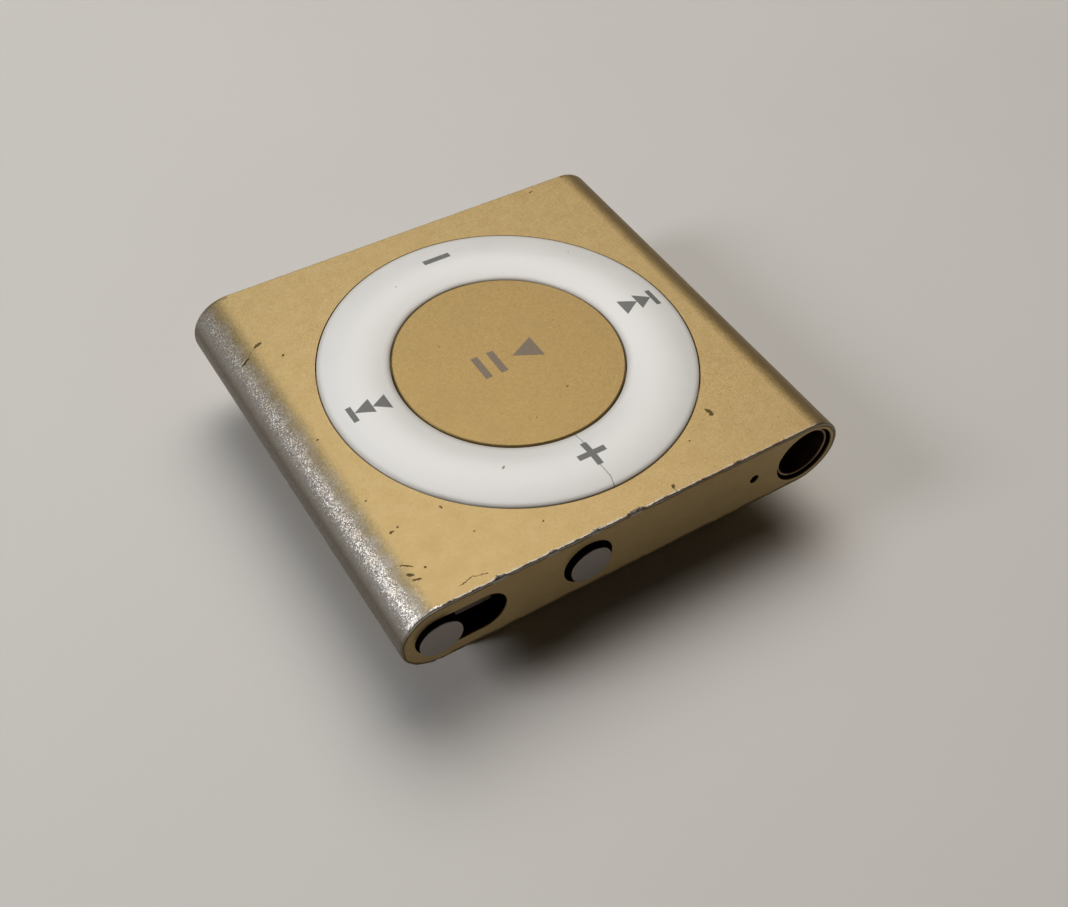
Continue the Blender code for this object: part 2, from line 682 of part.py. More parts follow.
def make_clip_plate(finish):
    """The clip: a plate with a gripping lip, a tail stop, and two knuckles in a shallow recess."""
    half_x, half_y = CLIP_WIDTH / 2, CLIP_LENGTH / 2
    outline = rounded_box((-half_x, -half_y), (half_x, half_y), CLIP_CORNER, 6)
    plate = prism("clip_plate", outline, 0, CLIP_THICKNESS, "XY", finish, CLIP_EDGE)
    embedded = CLIP_THICKNESS - BLEND_IN
    lip_left = -half_x + LIP_INSET
    lip = rounded_box(
        (lip_left, CLIP_THICKNESS - LIP_ROUND),
        (lip_left + LIP_WIDTH, BODY_BOTTOM - HINGE_SIDE_GAP),
        LIP_ROUND,
    )
    lip_tool = prism("add_lip", lip, -LIP_LENGTH / 2, LIP_LENGTH / 2, "XZ")
    combine(plate, lip_tool, "UNION")
    combine(plate, tail_stop(half_x, embedded), "UNION")
    recess_left = PIN_X - BRACKET_WIDTH / 2 - HINGE_RECESS_MARGIN
    recess_right = PIN_X + SPRING_LEG + HINGE_RECESS_MARGIN
    recess_y = HINGE_SPAN / 2 + HINGE_RECESS_MARGIN
    recess_floor = CLIP_THICKNESS - HINGE_RECESS
    recess = block(
        "cut_hinge_recess",
        (recess_left, -recess_y, recess_floor),
        (recess_right, recess_y, CLIP_THICKNESS + CUT_MARGIN),
    )
    combine(plate, recess)
    for side in (-1, 1):
        outer = side * HINGE_SPAN / 2
        inner = outer - side * KNUCKLE_LENGTH
        knuckle = prism(
            f"add_knuckle_{side + 1}",
            hinge_cheek(recess_floor - BLEND_IN),
            min(inner, outer),
            max(inner, outer),
            "XZ",
        )
        combine(plate, knuckle, "UNION")
    combine(plate, pin_hole("cut_clip_pin"))
    return plate


def tail_stop(half_x, embedded):
    """The rib on the clip's tail that meets the body when the clip is fully open."""
    reach = half_x - LIP_INSET - PIN_X
    lift = BODY_BOTTOM - PIN_Z - SMALL_GAP
    top = PIN_Z + (lift - reach * sin(CLIP_OPENING)) / cos(CLIP_OPENING)
    right = half_x - LIP_INSET
    outline = [
        (right - LIP_WIDTH, embedded),
        (right, embedded),
        (right, top),
        (right - LIP_WIDTH, top),
    ]
    return prism("add_stop", outline, -LIP_LENGTH / 2, LIP_LENGTH / 2, "XZ")


def pin_hole(name):
    """A running-fit hole right through the hinge."""
    half = HINGE_SPAN / 2 + CUT_MARGIN
    return cylinder(name, (PIN_X, 0, PIN_Z), PIN_RADIUS + PIN_CLEARANCE, -half, half, "Y")


def make_bracket(finish):
    """The folded steel foot under the back cover, with two ears for the clip's pin."""
    top = BODY_BOTTOM - SMALL_GAP
    bottom = top - BRACKET_SHEET
    ear_outer = HINGE_SPAN / 2 - KNUCKLE_LENGTH - HINGE_SIDE_GAP
    left, right = PIN_X - BRACKET_WIDTH / 2, PIN_X + BRACKET_WIDTH / 2
    window_left = PIN_X - KNUCKLE_RADIUS - BRACKET_WINDOW_GAP
    half_window = BRACKET_WINDOW / 2
    outline = [
        (left, -ear_outer),
        (right, -ear_outer),
        (right, -half_window),
        (window_left, -half_window),
        (window_left, half_window),
        (right, half_window),
        (right, ear_outer),
        (left, ear_outer),
    ]
    bracket = prism("clip_bracket", outline, bottom, top, "XY", finish)
    for side in (-1, 1):
        outer = side * ear_outer
        inner = outer - side * EAR_THICKNESS
        ear = prism(
            f"add_ear_{side + 1}",
            hinge_cheek(top - BRACKET_SHEET / 2),
            min(inner, outer),
            max(inner, outer),
            "XZ",
        )
        combine(bracket, ear, "UNION")
    combine(bracket, pin_hole("cut_bracket_pin"))
    for i, (x, y) in enumerate(bracket_screw_places(), 1):
        hole = cylinder(
            f"cut_bracket_screw_{i}",
            (x, y, 0),
            SCREW_RADIUS + FIT_GAP,
            bottom - CUT_MARGIN,
            top + CUT_MARGIN,
        )
        combine(bracket, hole)
    return bottom


def make_bracket_screws(bracket_bottom, finish):
    """Four screws up through the bracket into the back cover."""
    seat = bracket_bottom - FIT_GAP
    first = make_screw("bracket_screw_1", BRACKET_SCREW_HEAD, BACK_TOP - seat, finish)
    places = bracket_screw_places()
    first.location = (*places[0], seat)
    for i, spot in enumerate(places[1:], 2):
        place(f"bracket_screw_{i}", first.data, location=(*spot, seat))


def make_hinge_pin(finish):
    """The steel pin through the knuckles and ears."""
    half = HINGE_SPAN / 2 - SMALL_GAP
    return cylinder("clip_pin", (PIN_X, 0, PIN_Z), PIN_RADIUS, -half, half, "Y", finish=finish)


def make_clip_spring(finish):
    """A torsion spring round the pin whose two legs push the clip's tail from the body."""
    coil = PIN_RADIUS + SPRING_WIRE + SMALL_GAP
    per_turn = 16
    steps = int(SPRING_TURNS * per_turn)
    length = SPRING_TURNS * SPRING_PITCH
    points = [(PIN_X + SPRING_LEG, -length / 2, PIN_Z + coil)]
    for i in range(steps + 1):
        turn = pi / 2 + 2 * pi * i / per_turn
        along = -length / 2 + length * i / steps
        points.append((PIN_X + coil * cos(turn), along, PIN_Z + coil * sin(turn)))
    points.append((PIN_X + SPRING_LEG, length / 2, PIN_Z - coil))
    return tube("clip_spring", points, SPRING_WIRE, 1, finish)


# ---------------------------------------------------------------- control pad


def post_places():
    """The ring's four posts, by the symbol above each."""
    return {
        "plus": (0, -POST_CIRCLE),
        "minus": (0, POST_CIRCLE),
        "next": (-POST_CIRCLE, 0),
        "previous": (POST_CIRCLE, 0),
    }


def crown_height(radius):
    """Height of the ring's convex face above the body's top at a radius."""
    half = (RING_RADIUS - RING_HOLE_RADIUS) / 2
    middle = RING_RADIUS - half
    bend = (half**2 + RING_CROWN**2) / (2 * RING_CROWN)
    return (bend**2 - (radius - middle) ** 2) ** 0.5 - (bend - RING_CROWN)


def make_control_ring(finish):
    """The convex ring with four headed posts that hold it and press the domes."""
    steps = 8
    width = RING_RADIUS - RING_HOLE_RADIUS
    radii = [RING_RADIUS - width * i / steps for i in range(steps + 1)]
    profile = [(r, BODY_TOP + crown_height(r)) for r in radii]
    profile += [(RING_HOLE_RADIUS, RING_BOTTOM), (RING_RADIUS, RING_BOTTOM)]
    ring = turned("control_ring", profile, (0, 0, 0), closed=True, finish=finish)
    for name, (x, y) in post_places().items():
        near_gimbal = GIMBAL_BOTTOM - FIT_GAP
        head_top = near_gimbal if x == 0 else HEAD_TOP
        post = [
            (0, HEAD_BOTTOM),
            (POST_HEAD_RADIUS, HEAD_BOTTOM),
            (POST_HEAD_RADIUS, head_top),
            (POST_RADIUS, head_top),
            (POST_RADIUS, RING_BOTTOM + BLEND_IN),
            (0, RING_BOTTOM + BLEND_IN),
        ]
        tool = turned("add_post_" + name, post, (x, y, 0), steps=16)
        combine(ring, tool, "UNION")
    return ring


def make_gimbal_spring(finish):
    """The thin spring washer that carries the ring: it rocks on two pads on the X axis."""
    profile = [
        (GIMBAL_INNER, GIMBAL_BOTTOM),
        (GIMBAL_OUTER, GIMBAL_BOTTOM),
        (GIMBAL_OUTER, GIMBAL_TOP),
        (GIMBAL_INNER, GIMBAL_TOP),
    ]
    washer = turned("gimbal_spring", profile, (0, 0, 0), steps=48, closed=True, finish=finish)
    for name, (x, y) in post_places().items():
        hole = cylinder(
            "cut_gimbal_" + name,
            (x, y, 0),
            POST_RADIUS + SMALL_GAP,
            GIMBAL_BOTTOM - CUT_MARGIN,
            GIMBAL_TOP + CUT_MARGIN,
            steps=16,
        )
        combine(washer, hole)
    pad_x = GIMBAL_INNER + GIMBAL_PAD_RADIUS + SMALL_GAP
    for side in (-1, 1):
        pad = cylinder(
            f"add_gimbal_pad_{side + 1}",
            (side * pad_x, 0, 0),
            GIMBAL_PAD_RADIUS,
            GIMBAL_BOTTOM + GIMBAL_THICKNESS / 2,
            CEILING - FIT_GAP,
            steps=12,
        )
        combine(washer, pad, "UNION")
    return washer


def make_centre_button(finish, steel):
    """The centre disc on its stem, and the open washer that keeps it in."""
    radius = RING_HOLE_RADIUS - SEAM
    top = BODY_TOP + BUTTON_PROUD
    groove_top = CEILING - FIT_GAP
    groove_bottom = groove_top - STEM_GROOVE_WIDTH
    profile = [
        (0, HEAD_BOTTOM),
        (STEM_RADIUS, HEAD_BOTTOM),
        (STEM_RADIUS, groove_bottom),
        (STEM_RADIUS - STEM_GROOVE, groove_bottom),
        (STEM_RADIUS - STEM_GROOVE, groove_top),
        (STEM_RADIUS, groove_top),
        (STEM_RADIUS, top - BUTTON_THICKNESS),
        (radius, top - BUTTON_THICKNESS),
        (radius, top - BUTTON_CHAMFER),
        (radius - BUTTON_CHAMFER, top),
        (0, top),
    ]
    button = turned("centre_button", profile, (0, 0, 0), finish=finish)
    inner = STEM_RADIUS - STEM_GROOVE + SMALL_GAP
    outline = (
        arc((0, 0), inner + RETAINER_WIDTH, 25, 335, 24) + arc((0, 0), inner, 335, 25, 24)
    )
    washer = prism(
        "centre_button_clip", outline, groove_bottom + FIT_GAP, groove_top - FIT_GAP, "XY", steel
    )
    return [button, washer]


def make_domes(finish):
    """Five click domes, drawn pressed: a post meets its dome at the end of its travel."""
    rise = 3
    outer = [
        (DOME_RADIUS * (1 - i / rise), DOME_HEIGHT * sin(pi / 2 * i / rise)) for i in range(rise + 1)
    ]
    inner = [(max(r - DOME_SHEET, 0), max(h - DOME_SHEET, 0)) for r, h in outer]
    profile = outer[::-1] + inner[:-1] + [(0, DOME_HEIGHT - DOME_SHEET)]
    places = {"centre": (0, 0), **post_places()}
    shared = None
    for name, spot in places.items():
        location = (*spot, DOME_BOTTOM)
        if shared:
            place("dome_" + name, shared, location=location)
        else:
            dome = turned("dome_" + name, profile, (0, 0, 0), steps=16, finish=finish)
            dome.location = location
            shared = dome.data


def make_control_flex(finish):
    """The dome circuit: a round film whose tail folds under to the board's connector."""
    film = prism(
        "control_flex", circle((0, 0), FLEX_RADIUS, 48), FLEX_BOTTOM, FLEX_TOP, "XY", finish
    )
    fold_x = POCKET_LEFT + FLEX_FOLD_GAP
    film_z = (FLEX_BOTTOM + FLEX_TOP) / 2
    tail_z = tail_height()
    start = -FLEX_RADIUS / 2
    centre_line = [
        (start, film_z),
        (fold_x, film_z),
        (fold_x, tail_z),
        (connector_x() - CONNECTOR_MOUTH, tail_z),
    ]
    half = FLEX_TAIL_WIDTH / 2
    tail = prism(
        "add_flex_tail", ribbon(centre_line, FLEX_THICKNESS), TAIL_Y - half, TAIL_Y + half, "XZ"
    )
    combine(film, tail, "UNION")


def tail_height():
    """Middle height of the tail where it lies on the connector."""
    return BOARD_TOP + FIT_GAP + CONNECTOR_HEIGHT + FIT_GAP + FLEX_THICKNESS / 2


def connector_x():
    """Right side of the socket for the control flex."""
    return BOARD_LEFT + CONNECTOR_INSET


def make_support(finish):
    """The steel plate behind the domes and its four screws."""
    left, right = POCKET_LEFT + SUPPORT_LEFT_GAP, POCKET_RIGHT - SUPPORT_RIGHT_GAP
    front = BOSS_PLACES[0][1] - SUPPORT_BOSS_MARGIN
    far = BOSS_PLACES[1][1] + SUPPORT_BOSS_MARGIN
    outline = rounded_box((left, front), (right, far), SUPPORT_CORNER, 3)
    plate = prism("support_plate", outline, SUPPORT_BOTTOM, SUPPORT_TOP, "XY", finish)
    half = FLEX_TAIL_WIDTH / 2 + CONNECTOR_SIDE
    combine(
        plate,
        block(
            "cut_tail_notch",
            (left - CUT_MARGIN, TAIL_Y - half, SUPPORT_BOTTOM - CUT_MARGIN),
            (left + SUPPORT_NOTCH, TAIL_Y + half, SUPPORT_TOP + CUT_MARGIN),
        ),
    )
    seat = SUPPORT_BOTTOM - FIT_GAP
    shank = CEILING - SUPPORT_SCREW_ROOF - seat
    shared = make_screw("support_screw_1", SUPPORT_SCREW_HEAD, shank, finish)
    for i, (x, y) in enumerate(BOSS_PLACES, 1):
        hole = cylinder(
            f"cut_support_{i}",
            (x, y, 0),
            SCREW_RADIUS + SMALL_GAP,
            SUPPORT_BOTTOM - CUT_MARGIN,
            SUPPORT_TOP + CUT_MARGIN,
        )
        combine(plate, hole)
        if i == 1:
            shared.location = (x, y, seat)
        else:
            place(f"support_screw_{i}", shared.data, location=(x, y, seat))


# ---------------------------------------------------------------- ports face controls


def make_switch(cap, black):
    """The slide switch: round knob, its slider, and the fixed switch body behind them."""
    knob_front = FRONT_Y - CAP_PROUD
    knob_profile = [
        (0, knob_front),
        (KNOB_RADIUS - CAP_CHAMFER, knob_front),
        (KNOB_RADIUS, knob_front + CAP_CHAMFER),
        (KNOB_RADIUS, knob_front + KNOB_THICKNESS),
        (KNOB_NECK_RADIUS, knob_front + KNOB_THICKNESS),
        (KNOB_NECK_RADIUS, SLIDER_FRONT - FIT_GAP),
        (0, SLIDER_FRONT - FIT_GAP),
    ]
    knob = turned("switch_knob", knob_profile, (KNOB_X, 0, MID_Z), "Y", CAP_STEPS, finish=cap)
    slider = block(
        "switch_slider",
        (SLIDER_LEFT, SLIDER_FRONT, MID_Z - SLIDER_HALF_HEIGHT),
        (SLIDER_RIGHT, SLIDER_BACK, MID_Z + SLIDER_HALF_HEIGHT),
        cap,
    )
    finger_left = KNOB_X + FINGER_OFFSET
    finger_right = finger_left + FINGER_WIDTH
    finger_back = SLIDER_BACK + FINGER_LENGTH
    finger = block(
        "add_finger",
        (finger_left, SLIDER_BACK - BLEND_IN, MID_Z - FINGER_HALF_HEIGHT),
        (finger_right, finger_back, MID_Z + FINGER_HALF_HEIGHT),
    )
    combine(slider, finger, "UNION")
    body_front = SLIDER_BACK + SWITCH_GAP
    groove_left = finger_left - SWITCH_GROOVE_GAP
    groove_right = finger_right + SWITCH_TRAVEL + SWITCH_GROOVE_GAP
    groove_half = FINGER_HALF_HEIGHT + SWITCH_GAP
    body = block(
        "slide_switch_body",
        (groove_left - SWITCH_CASE_WALL, body_front, BOARD_TOP + FIT_GAP),
        (groove_right + SWITCH_CASE_WALL, body_front + SWITCH_CASE_DEPTH, MID_Z + SWITCH_CASE_REACH),
        black,
    )
    combine(
        body,
        block(
            "cut_switch_groove",
            (groove_left, body_front - CUT_MARGIN, MID_Z - groove_half),
            (groove_right, finger_back + SWITCH_GAP, MID_Z + groove_half),
        ),
    )
    return [knob, slider]


def make_announcement_button(cap, black):
    """The round push button, and the click switch behind it."""
    front = FRONT_Y - CAP_PROUD
    flange_front = POCKET_FRONT + SMALL_GAP
    flange_back = flange_front + ANNOUNCE_FLANGE
    neck_front = flange_front - ANNOUNCE_NECK_LENGTH
    profile = [
        (0, front),
        (ANNOUNCE_RADIUS - CAP_CHAMFER, front),
        (ANNOUNCE_RADIUS, front + CAP_CHAMFER),
        (ANNOUNCE_RADIUS, neck_front),
        (ANNOUNCE_NECK_RADIUS, neck_front),
        (ANNOUNCE_NECK_RADIUS, flange_front + BLEND_IN),
        (0, flange_front + BLEND_IN),
    ]
    centre = (ANNOUNCE_X, 0, MID_Z)
    button = turned("announcement_button", profile, centre, "Y", CAP_STEPS, finish=cap)
    flange_x = ANNOUNCE_RADIUS + ANNOUNCE_CLEARANCE + ANNOUNCE_FLANGE_MARGIN
    flange_z = MID_Z - BOARD_TOP - SMALL_GAP
    flange = block(
        "add_flange",
        (ANNOUNCE_X - flange_x, flange_front, MID_Z - flange_z),
        (ANNOUNCE_X + flange_x, flange_back, MID_Z + flange_z),
    )
    combine(button, flange, "UNION")
    plunger_front = flange_back + ANNOUNCE_TRAVEL + FIT_GAP
    case_front = plunger_front + PLUNGER_LENGTH
    case = block(
        "announcement_switch",
        (ANNOUNCE_X - CLICKER_WIDTH / 2, case_front, BOARD_TOP + FIT_GAP),
        (ANNOUNCE_X + CLICKER_WIDTH / 2, case_front + CLICKER_DEPTH, MID_Z + CLICKER_REACH),
        black,
    )
    plunger = cylinder(
        "add_plunger", centre, PLUNGER_RADIUS, plunger_front, case_front + BLEND_IN, "Y", 16
    )
    combine(case, plunger, "UNION")
    return button


def make_lamp(clear, white):
    """The light pipe in the pin hole and the lamp behind it."""
    flange_front = POCKET_FRONT + SMALL_GAP
    flange_back = flange_front + LAMP_FLANGE
    profile = [
        (0, FRONT_Y + SMALL_GAP),
        (LAMP_RADIUS, FRONT_Y + SMALL_GAP),
        (LAMP_RADIUS, flange_front),
        (2 * LAMP_RADIUS, flange_front),
        (2 * LAMP_RADIUS, flange_back),
        (0, flange_back),
    ]
    turned("light_pipe", profile, (LAMP_X, 0, MID_Z), "Y", 16, finish=clear)
    lamp_front = flange_back + SMALL_GAP
    block(
        "status_led",
        (LAMP_X - LED_WIDTH / 2, max(lamp_front, BOARD_FRONT), BOARD_TOP + FIT_GAP),
        (LAMP_X + LED_WIDTH / 2, lamp_front + LED_DEPTH, MID_Z + LED_REACH),
        white,
    )


# ---------------------------------------------------------------- headphone socket


def make_jack(sleeve_finish, black, brass):
    """The socket: metal mouth sleeve, insulating tube with a closed end, contact springs."""
    centre = (ROUND_X, 0, MID_Z)
    bore = JACK_BORE / 2
    sleeve_front = FRONT_Y + JACK_SLEEVE_RECESS
    flange = JACK_MOUTH_RADIUS - SMALL_GAP
    profile = [
        (bore, sleeve_front),
        (JACK_SLEEVE_RADIUS, sleeve_front),
        (JACK_SLEEVE_RADIUS, JACK_SLEEVE_END - JACK_SLEEVE_FLANGE),
        (flange, JACK_SLEEVE_END - JACK_SLEEVE_FLANGE),
        (flange, JACK_SLEEVE_END),
        (bore, JACK_SLEEVE_END),
    ]
    turned("jack_sleeve", profile, centre, "Y", 48, closed=True, finish=sleeve_finish)
    tube_front = JACK_STEP_Y + SMALL_GAP
    bore_end = FRONT_Y + JACK_DEPTH
    profile = [
        (0, bore_end),
        (bore, bore_end),
        (bore, tube_front),
        (JACK_TUBE_RADIUS, tube_front),
        (JACK_TUBE_RADIUS, JACK_END_Y),
        (0, JACK_END_Y),
    ]
    body = turned("jack_body", profile, centre, "Y", 32, finish=black)
    for name, depth in CONTACT_DEPTHS.items():
        y = FRONT_Y + depth
        half = CONTACT_WIDTH / 2
        slot_half = half + CONTACT_SLOT_SIDE
        slot_left = ROUND_X - JACK_TUBE_RADIUS - CUT_MARGIN
        combine(
            body,
            block(
                "cut_" + name,
                (slot_left, y - slot_half, MID_Z - CONTACT_SLOT_BELOW),
                (ROUND_X - bore / 2, y + slot_half, MID_Z + CONTACT_SLOT_ABOVE),
            ),
        )
        foot_z = BOARD_TOP + FIT_GAP + CONTACT_SHEET / 2
        riser_x = BOARD_RIGHT + CONTACT_STANDOFF
        reach_x = ROUND_X - bore + CONTACT_REACH
        line = [
            (BOARD_RIGHT - CONTACT_FOOT, foot_z),
            (riser_x, foot_z),
            (riser_x, MID_Z - CONTACT_DROP),
            (reach_x, MID_Z - CONTACT_DROP),
        ]
        prism(name, ribbon(line, CONTACT_SHEET), y - half, y + half, "XZ", brass)


# ---------------------------------------------------------------- board and battery

# Parts on the board: place from its centre in X and Y, then width, length and height.
TOP_PARTS = {
    "power_controller": (-0.6, 2.8, 3.0, 3.0, 0.45, "chip"),
    "audio_converter": (6.2, 2.4, 3.0, 3.0, 0.45, "chip"),
    "crystal": (2.7, 2.9, 2.0, 1.6, 0.40, "steel"),
    "inductor": (-4.6, 3.0, 2.2, 2.2, 0.45, "chip"),
    "capacitor_1": (-2.4, -0.9, 1.0, 0.5, 0.40, "cap"),
    "capacitor_2": (0.2, -0.9, 1.0, 0.5, 0.40, "cap"),
    "capacitor_3": (2.8, -0.9, 1.0, 0.5, 0.40, "cap"),
    "capacitor_4": (5.4, -0.9, 1.0, 0.5, 0.40, "cap"),
}
UNDER_PARTS = {
    "processor": (-5.4, 0.0, 7.0, 7.0, 0.60, "chip"),
    "flash_memory": (4.8, 0.0, 8.0, 6.5, 0.60, "chip"),
}


def make_board(finishes):
    """The circuit board with its chips, small parts and flex connector."""
    outline = rounded_box((BOARD_LEFT, BOARD_FRONT), (BOARD_RIGHT, BOARD_BACK), BOARD_CORNER, 3)
    prism("main_board", outline, BOARD_BOTTOM, BOARD_TOP, "XY", finishes["board"])
    for name, (x, y, width, length, height, finish) in TOP_PARTS.items():
        base = BOARD_TOP + FIT_GAP
        part_on_board(name, x, y, width, length, base, base + height * MM, finishes[finish])
    for name, (x, y, width, length, height, finish) in UNDER_PARTS.items():
        base = BOARD_BOTTOM - FIT_GAP
        part_on_board(name, x, y, width, length, base - height * MM, base, finishes[finish])
    half = FLEX_TAIL_WIDTH / 2 + CONNECTOR_SIDE
    block(
        "flex_connector",
        (connector_x() - CONNECTOR_LENGTH, TAIL_Y - half, BOARD_TOP + FIT_GAP),
        (connector_x(), TAIL_Y + half, BOARD_TOP + FIT_GAP + CONNECTOR_HEIGHT),
        finishes["black"],
    )


def part_on_board(name, x, y, width, length, low, high, finish):
    """One rectangular part on a face of the board, sized in millimetres."""
    block(
        name,
        (BOARD_X + (x - width / 2) * MM, BOARD_Y + (y - length / 2) * MM, low),
        (BOARD_X + (x + width / 2) * MM, BOARD_Y + (y + length / 2) * MM, high),
        finish,
    )


# Bends of a battery lead: how far to the side and how far forward, in millimetres.
LEAD_BENDS = [(0.0, 0.0), (0.0, 0.6), (0.2, 1.1), (0.5, 1.5)]


def make_battery(finishes):
    """The flat pouch cell, its pad on the cover, and its two leads to the board."""
    left, right = POCKET_LEFT + BATTERY_SIDE_GAP, POCKET_RIGHT - BATTERY_SIDE_GAP
    pad_bottom = BACK_TOP + SMALL_GAP
    pad_top = pad_bottom + BATTERY_PAD_THICKNESS
    inset = BATTERY_PAD_INSET
    block(
        "battery_pad",
        (left + inset, BATTERY_FRONT + inset, pad_bottom),
        (right - inset, BATTERY_BACK - inset, pad_top),
        finishes["adhesive"],
    )
    bottom = pad_top + SMALL_GAP
    top = bottom + BATTERY_THICKNESS
    outline = rounded_box((left, BATTERY_FRONT), (right, BATTERY_BACK), BATTERY_CORNER, 4)
    prism("battery", outline, bottom, top, "XY", finishes["pouch"], BATTERY_EDGE)
    lead_z = BOARD_TOP + LEAD_RADIUS + SMALL_GAP
    start_y = BATTERY_FRONT - SMALL_GAP
    for name, x, finish in (("positive", 6.8, "red"), ("negative", 7.8, "black")):
        points = [(BOARD_X + (x + side) * MM, start_y - back * MM, lead_z) for side, back in LEAD_BENDS]
        tube("battery_lead_" + name, points, LEAD_RADIUS, 1, finishes[finish])


# ---------------------------------------------------------------- assembly


def clear_scene():
    """Removes whatever the file starts with."""
    for old in list(bpy.data.objects):
        bpy.data.objects.remove(old)


def main():
    """Builds every piece and hangs the moving ones on empties on their joints' axes."""
    clear_scene()
    finishes = make_materials()
    gold, steel, black, cap = (finishes[k] for k in ("gold", "steel", "black", "cap"))
    make_housing(gold)
    make_back(gold, finishes["adhesive"])

    clip = make_clip_plate(gold)
    bracket_bottom = make_bracket(steel)
    make_bracket_screws(bracket_bottom, steel)
    make_hinge_pin(steel)
    make_clip_spring(steel)
    axis_empty("clip_hinge_axis", (PIN_X, 0, PIN_Z), [clip])

    ring = make_control_ring(finishes["white"])
    gimbal = make_gimbal_spring(steel)
    pad_pivot = (0, 0, GIMBAL_TOP)
    axis_empty("ring_tilt_axis_x", pad_pivot, [gimbal])
    axis_empty("ring_tilt_axis_y", pad_pivot, [ring])
    axis_empty("centre_press_axis", pad_pivot, make_centre_button(gold, steel))
    make_domes(steel)
    make_control_flex(finishes["flex"])
    make_support(steel)

    axis_empty("switch_slide_axis", (KNOB_X, FRONT_Y, MID_Z), make_switch(cap, black))
    button = make_announcement_button(cap, black)
    axis_empty("announcement_press_axis", (ANNOUNCE_X, FRONT_Y, MID_Z), [button])
    make_lamp(finishes["clear"], finishes["white"])
    make_jack(cap, black, finishes["brass"])

    make_board(finishes)
    make_battery(finishes)


main()
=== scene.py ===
"""Clip-on digital audio player: fine shapes and finishes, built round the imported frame."""

import json
from functools import partial
from math import cos, pi, radians, sin

import bmesh
import bpy
from mathutils import Matrix, Vector, noise


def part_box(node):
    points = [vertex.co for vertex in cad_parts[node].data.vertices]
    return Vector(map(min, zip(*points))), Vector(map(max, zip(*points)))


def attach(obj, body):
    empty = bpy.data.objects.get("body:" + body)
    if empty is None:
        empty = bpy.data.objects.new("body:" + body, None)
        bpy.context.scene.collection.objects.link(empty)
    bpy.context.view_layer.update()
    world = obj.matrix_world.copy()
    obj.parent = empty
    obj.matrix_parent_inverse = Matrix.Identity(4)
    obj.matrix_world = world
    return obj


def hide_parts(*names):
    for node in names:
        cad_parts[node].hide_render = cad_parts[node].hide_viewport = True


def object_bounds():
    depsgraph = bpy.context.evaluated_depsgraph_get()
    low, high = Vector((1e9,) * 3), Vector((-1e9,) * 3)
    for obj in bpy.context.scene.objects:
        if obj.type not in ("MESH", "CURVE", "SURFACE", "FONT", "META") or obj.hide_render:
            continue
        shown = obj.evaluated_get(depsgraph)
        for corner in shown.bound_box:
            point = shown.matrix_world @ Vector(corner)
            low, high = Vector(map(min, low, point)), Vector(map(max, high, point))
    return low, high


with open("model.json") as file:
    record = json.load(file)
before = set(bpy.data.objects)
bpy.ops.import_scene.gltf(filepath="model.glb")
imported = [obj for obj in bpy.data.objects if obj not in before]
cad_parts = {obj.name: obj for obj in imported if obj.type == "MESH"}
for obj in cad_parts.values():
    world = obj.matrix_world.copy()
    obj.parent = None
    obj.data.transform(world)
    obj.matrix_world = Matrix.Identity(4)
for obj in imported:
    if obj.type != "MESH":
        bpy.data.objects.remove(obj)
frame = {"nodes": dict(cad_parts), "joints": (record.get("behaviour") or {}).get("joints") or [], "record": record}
cad_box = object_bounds()

MM = 0.001
SEAM = 0.08 * MM  # between moving pieces
CLEAR = 0.05 * MM  # between fixed pieces
OVER = 1.0 * MM  # how far a cutter reaches past what it cuts
EMBED = 0.1 * MM  # how far joined shapes reach into each other
TINY = 1e-6
WELD = 1e-7
SAME = 1e-8  # points closer than this are one point

# ---------------------------------------- places from the frame

SHELL_LOW, SHELL_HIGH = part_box("housing")
TOP, BOTTOM = SHELL_HIGH.z, SHELL_LOW.z
FRONT, FAR = SHELL_LOW.y, SHELL_HIGH.y
HALF_WIDTH = SHELL_HIGH.x
SIDE_RADIUS = (TOP - BOTTOM) / 2
ROUND_X = HALF_WIDTH - SIDE_RADIUS
MID_Z = (TOP + BOTTOM) / 2

RING_LOW, RING_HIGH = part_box("control_ring")
RING_RADIUS = RING_HIGH.x
BUTTON_LOW, BUTTON_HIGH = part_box("centre_button")
BUTTON_RADIUS = BUTTON_HIGH.x
RING_HOLE = BUTTON_RADIUS + SEAM
RING_BOTTOM = TOP - 0.43 * MM
FLOOR_TOP = TOP - 0.65 * MM
CEILING = FLOOR_TOP - 0.6 * MM
POST_CIRCLE = sum(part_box("dome_previous"), Vector()).x / 2
POST_RADIUS = 0.7 * MM
POST_HEAD = (1.0 * MM, 0.2 * MM)
STEM_RADIUS = 1.5 * MM

BOARD_LOW, BOARD_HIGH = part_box("main_board")
PLATE_LOW, PLATE_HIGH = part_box("back_plate")
POCKET_GAP = 0.3 * MM
POCKET_CORNER = 1.5 * MM
PLATE_CORNER = 2.02 * MM
WALL = 1.5 * MM
POCKET_LOW = Vector((BOARD_LOW.x - POCKET_GAP, FRONT + WALL))
POCKET_HIGH = Vector((BOARD_HIGH.x + POCKET_GAP, FAR - WALL))

